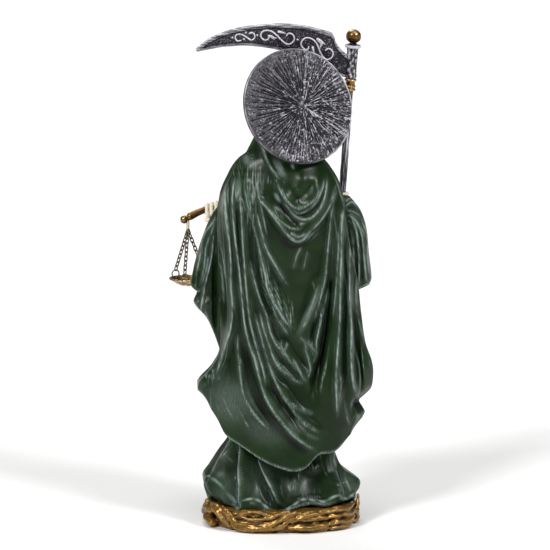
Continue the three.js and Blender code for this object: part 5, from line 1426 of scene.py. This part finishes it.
left_lobes = [lobe(LEFT_BELL, LEFT_LINES, 9, 0), lobe(LEFT_DROP, LEFT_LINES, 9, 1)]
left_sleeve = make_sleeve("left_sleeve", left_lobes, (30.8, -18, 122), (7.4, 11.5, 20))
right_lobes = [lobe(RIGHT_BELL, RIGHT_LINES, 10, 2, slope=0.35)]
right_sleeve = make_sleeve("right_sleeve", right_lobes, (-33, -19.4, 128), (6.8, 11.6, 16.4))
finish(make_cloak(), green_enamel, (13, 0.4), (74, 1.1))
for made in (make_robe(), left_sleeve, right_sleeve):
    finish(made, green_enamel, (11, 0.4), (62, 1.1))
finish(make_belt(), green_enamel, (4, 0.2), (10, 0.4))
finish(make_skull(), bone_paint, (5, 0.5), (17, 1.0))
left_grip = np.array(BEAM["hand"]) - (0, 0, 0.4)
left_wrist = [(27, -12, 137), (24, -4, 132)]
left_hand = make_hand("left_hand", left_grip, (1, 0.22, -0.24), (0, -0.4, 0.9), left_wrist)
right_wrist = [(-29, -9, 141), (-27, -2, 136)]
right_grip = staff_at(GRIP_HEIGHT)
right_hand = make_hand("right_hand", right_grip, (0.07, -0.05, 1), (-0.75, -0.65, 0), right_wrist)
for made in (left_hand, right_hand):
    finish(made, bone_paint, (4, 0.25), (30, 0.3))
finish(make_ground(), gilding, (6, 0.28), (18, 0.34))
finish(make_halo(), silvered, (6, 0.35), (12, 0.4))
finish(make_staff(), silvered, (8, 0.5), (12, 0.5))
finish(make_blade(), silvered, (10, 0.3), (24, 0.45))
for made in (make_ferrule(), make_finial(), make_beam()):
    finish(made, antique_gold, (10, 0.3), (30, 0.6))
for word, side in (("outer", 1), ("inner", -1)):
    chains, bowl = make_scale(word, side)
    finish(chains, dark_wire, (2, 0.1), (4, 0.2))
    finish(bowl, antique_gold, (10, 0.3), (30, 0.8))


# The floor, the soft lights and the camera
def make_floor():
    mesh = bpy.data.meshes.new("floor")
    half = 14.0
    corners = [(-half, -half, 0), (half, -half, 0), (half, half, 0), (-half, half, 0)]
    mesh.from_pydata(corners, [], [(0, 1, 2, 3)])
    floor = bpy.data.objects.new("floor", mesh)
    bpy.context.scene.collection.objects.link(floor)
    material = bpy.data.materials.new("pale_floor")
    material.use_nodes = True
    shader = material.node_tree.nodes["Principled BSDF"]
    shader.inputs["Base Color"].default_value = srgb("#f6f6f5")
    shader.inputs["Roughness"].default_value = 0.9
    mesh.materials.append(material)


def soft_sun(name, towards, strength, spread):
    """A broad soft light that comes from a direction."""
    data = bpy.data.lights.new(name, "SUN")
    data.energy = strength
    data.angle = math.radians(spread)
    lamp = bpy.data.objects.new(name, data)
    lamp.rotation_mode = "QUATERNION"
    lamp.rotation_quaternion = Vector(towards).to_track_quat("Z", "Y")
    bpy.context.scene.collection.objects.link(lamp)


def make_studio():
    world = bpy.data.worlds.new("studio")
    world.use_nodes = True
    world.node_tree.nodes["Background"].inputs["Color"].default_value = (1, 1, 1, 1)
    world.node_tree.nodes["Background"].inputs["Strength"].default_value = 0.14
    bpy.context.scene.world = world
    soft_sun("left", (0.85, 1.2, 1.2), 1.9, 14)
    soft_sun("right", (-1.1, 1.0, 1.2), 1.55, 14)
    soft_sun("top", (0, 0.15, 1), 0.75, 20)
    soft_sun("front", (0.4, -1.2, 1.4), 0.8, 30)


def make_camera():
    """A long lens behind the figure, nine degrees above its level."""
    aim = Vector((2.73, 0, 114.7)) * MM
    distance = 1.5
    frame_width = 250 * MM
    rise = math.radians(9)
    back = Vector((0, math.cos(rise), math.sin(rise)))
    data = bpy.data.cameras.new("camera")
    data.lens = data.sensor_width * distance / frame_width
    camera = bpy.data.objects.new("camera", data)
    camera.location = aim + back * distance
    camera.rotation_mode = "QUATERNION"
    camera.rotation_quaternion = back.to_track_quat("Z", "Y")
    bpy.context.scene.collection.objects.link(camera)
    bpy.context.scene.camera = camera


make_floor()
make_studio()
make_camera()
bpy.context.scene.view_settings.view_transform = "Standard"
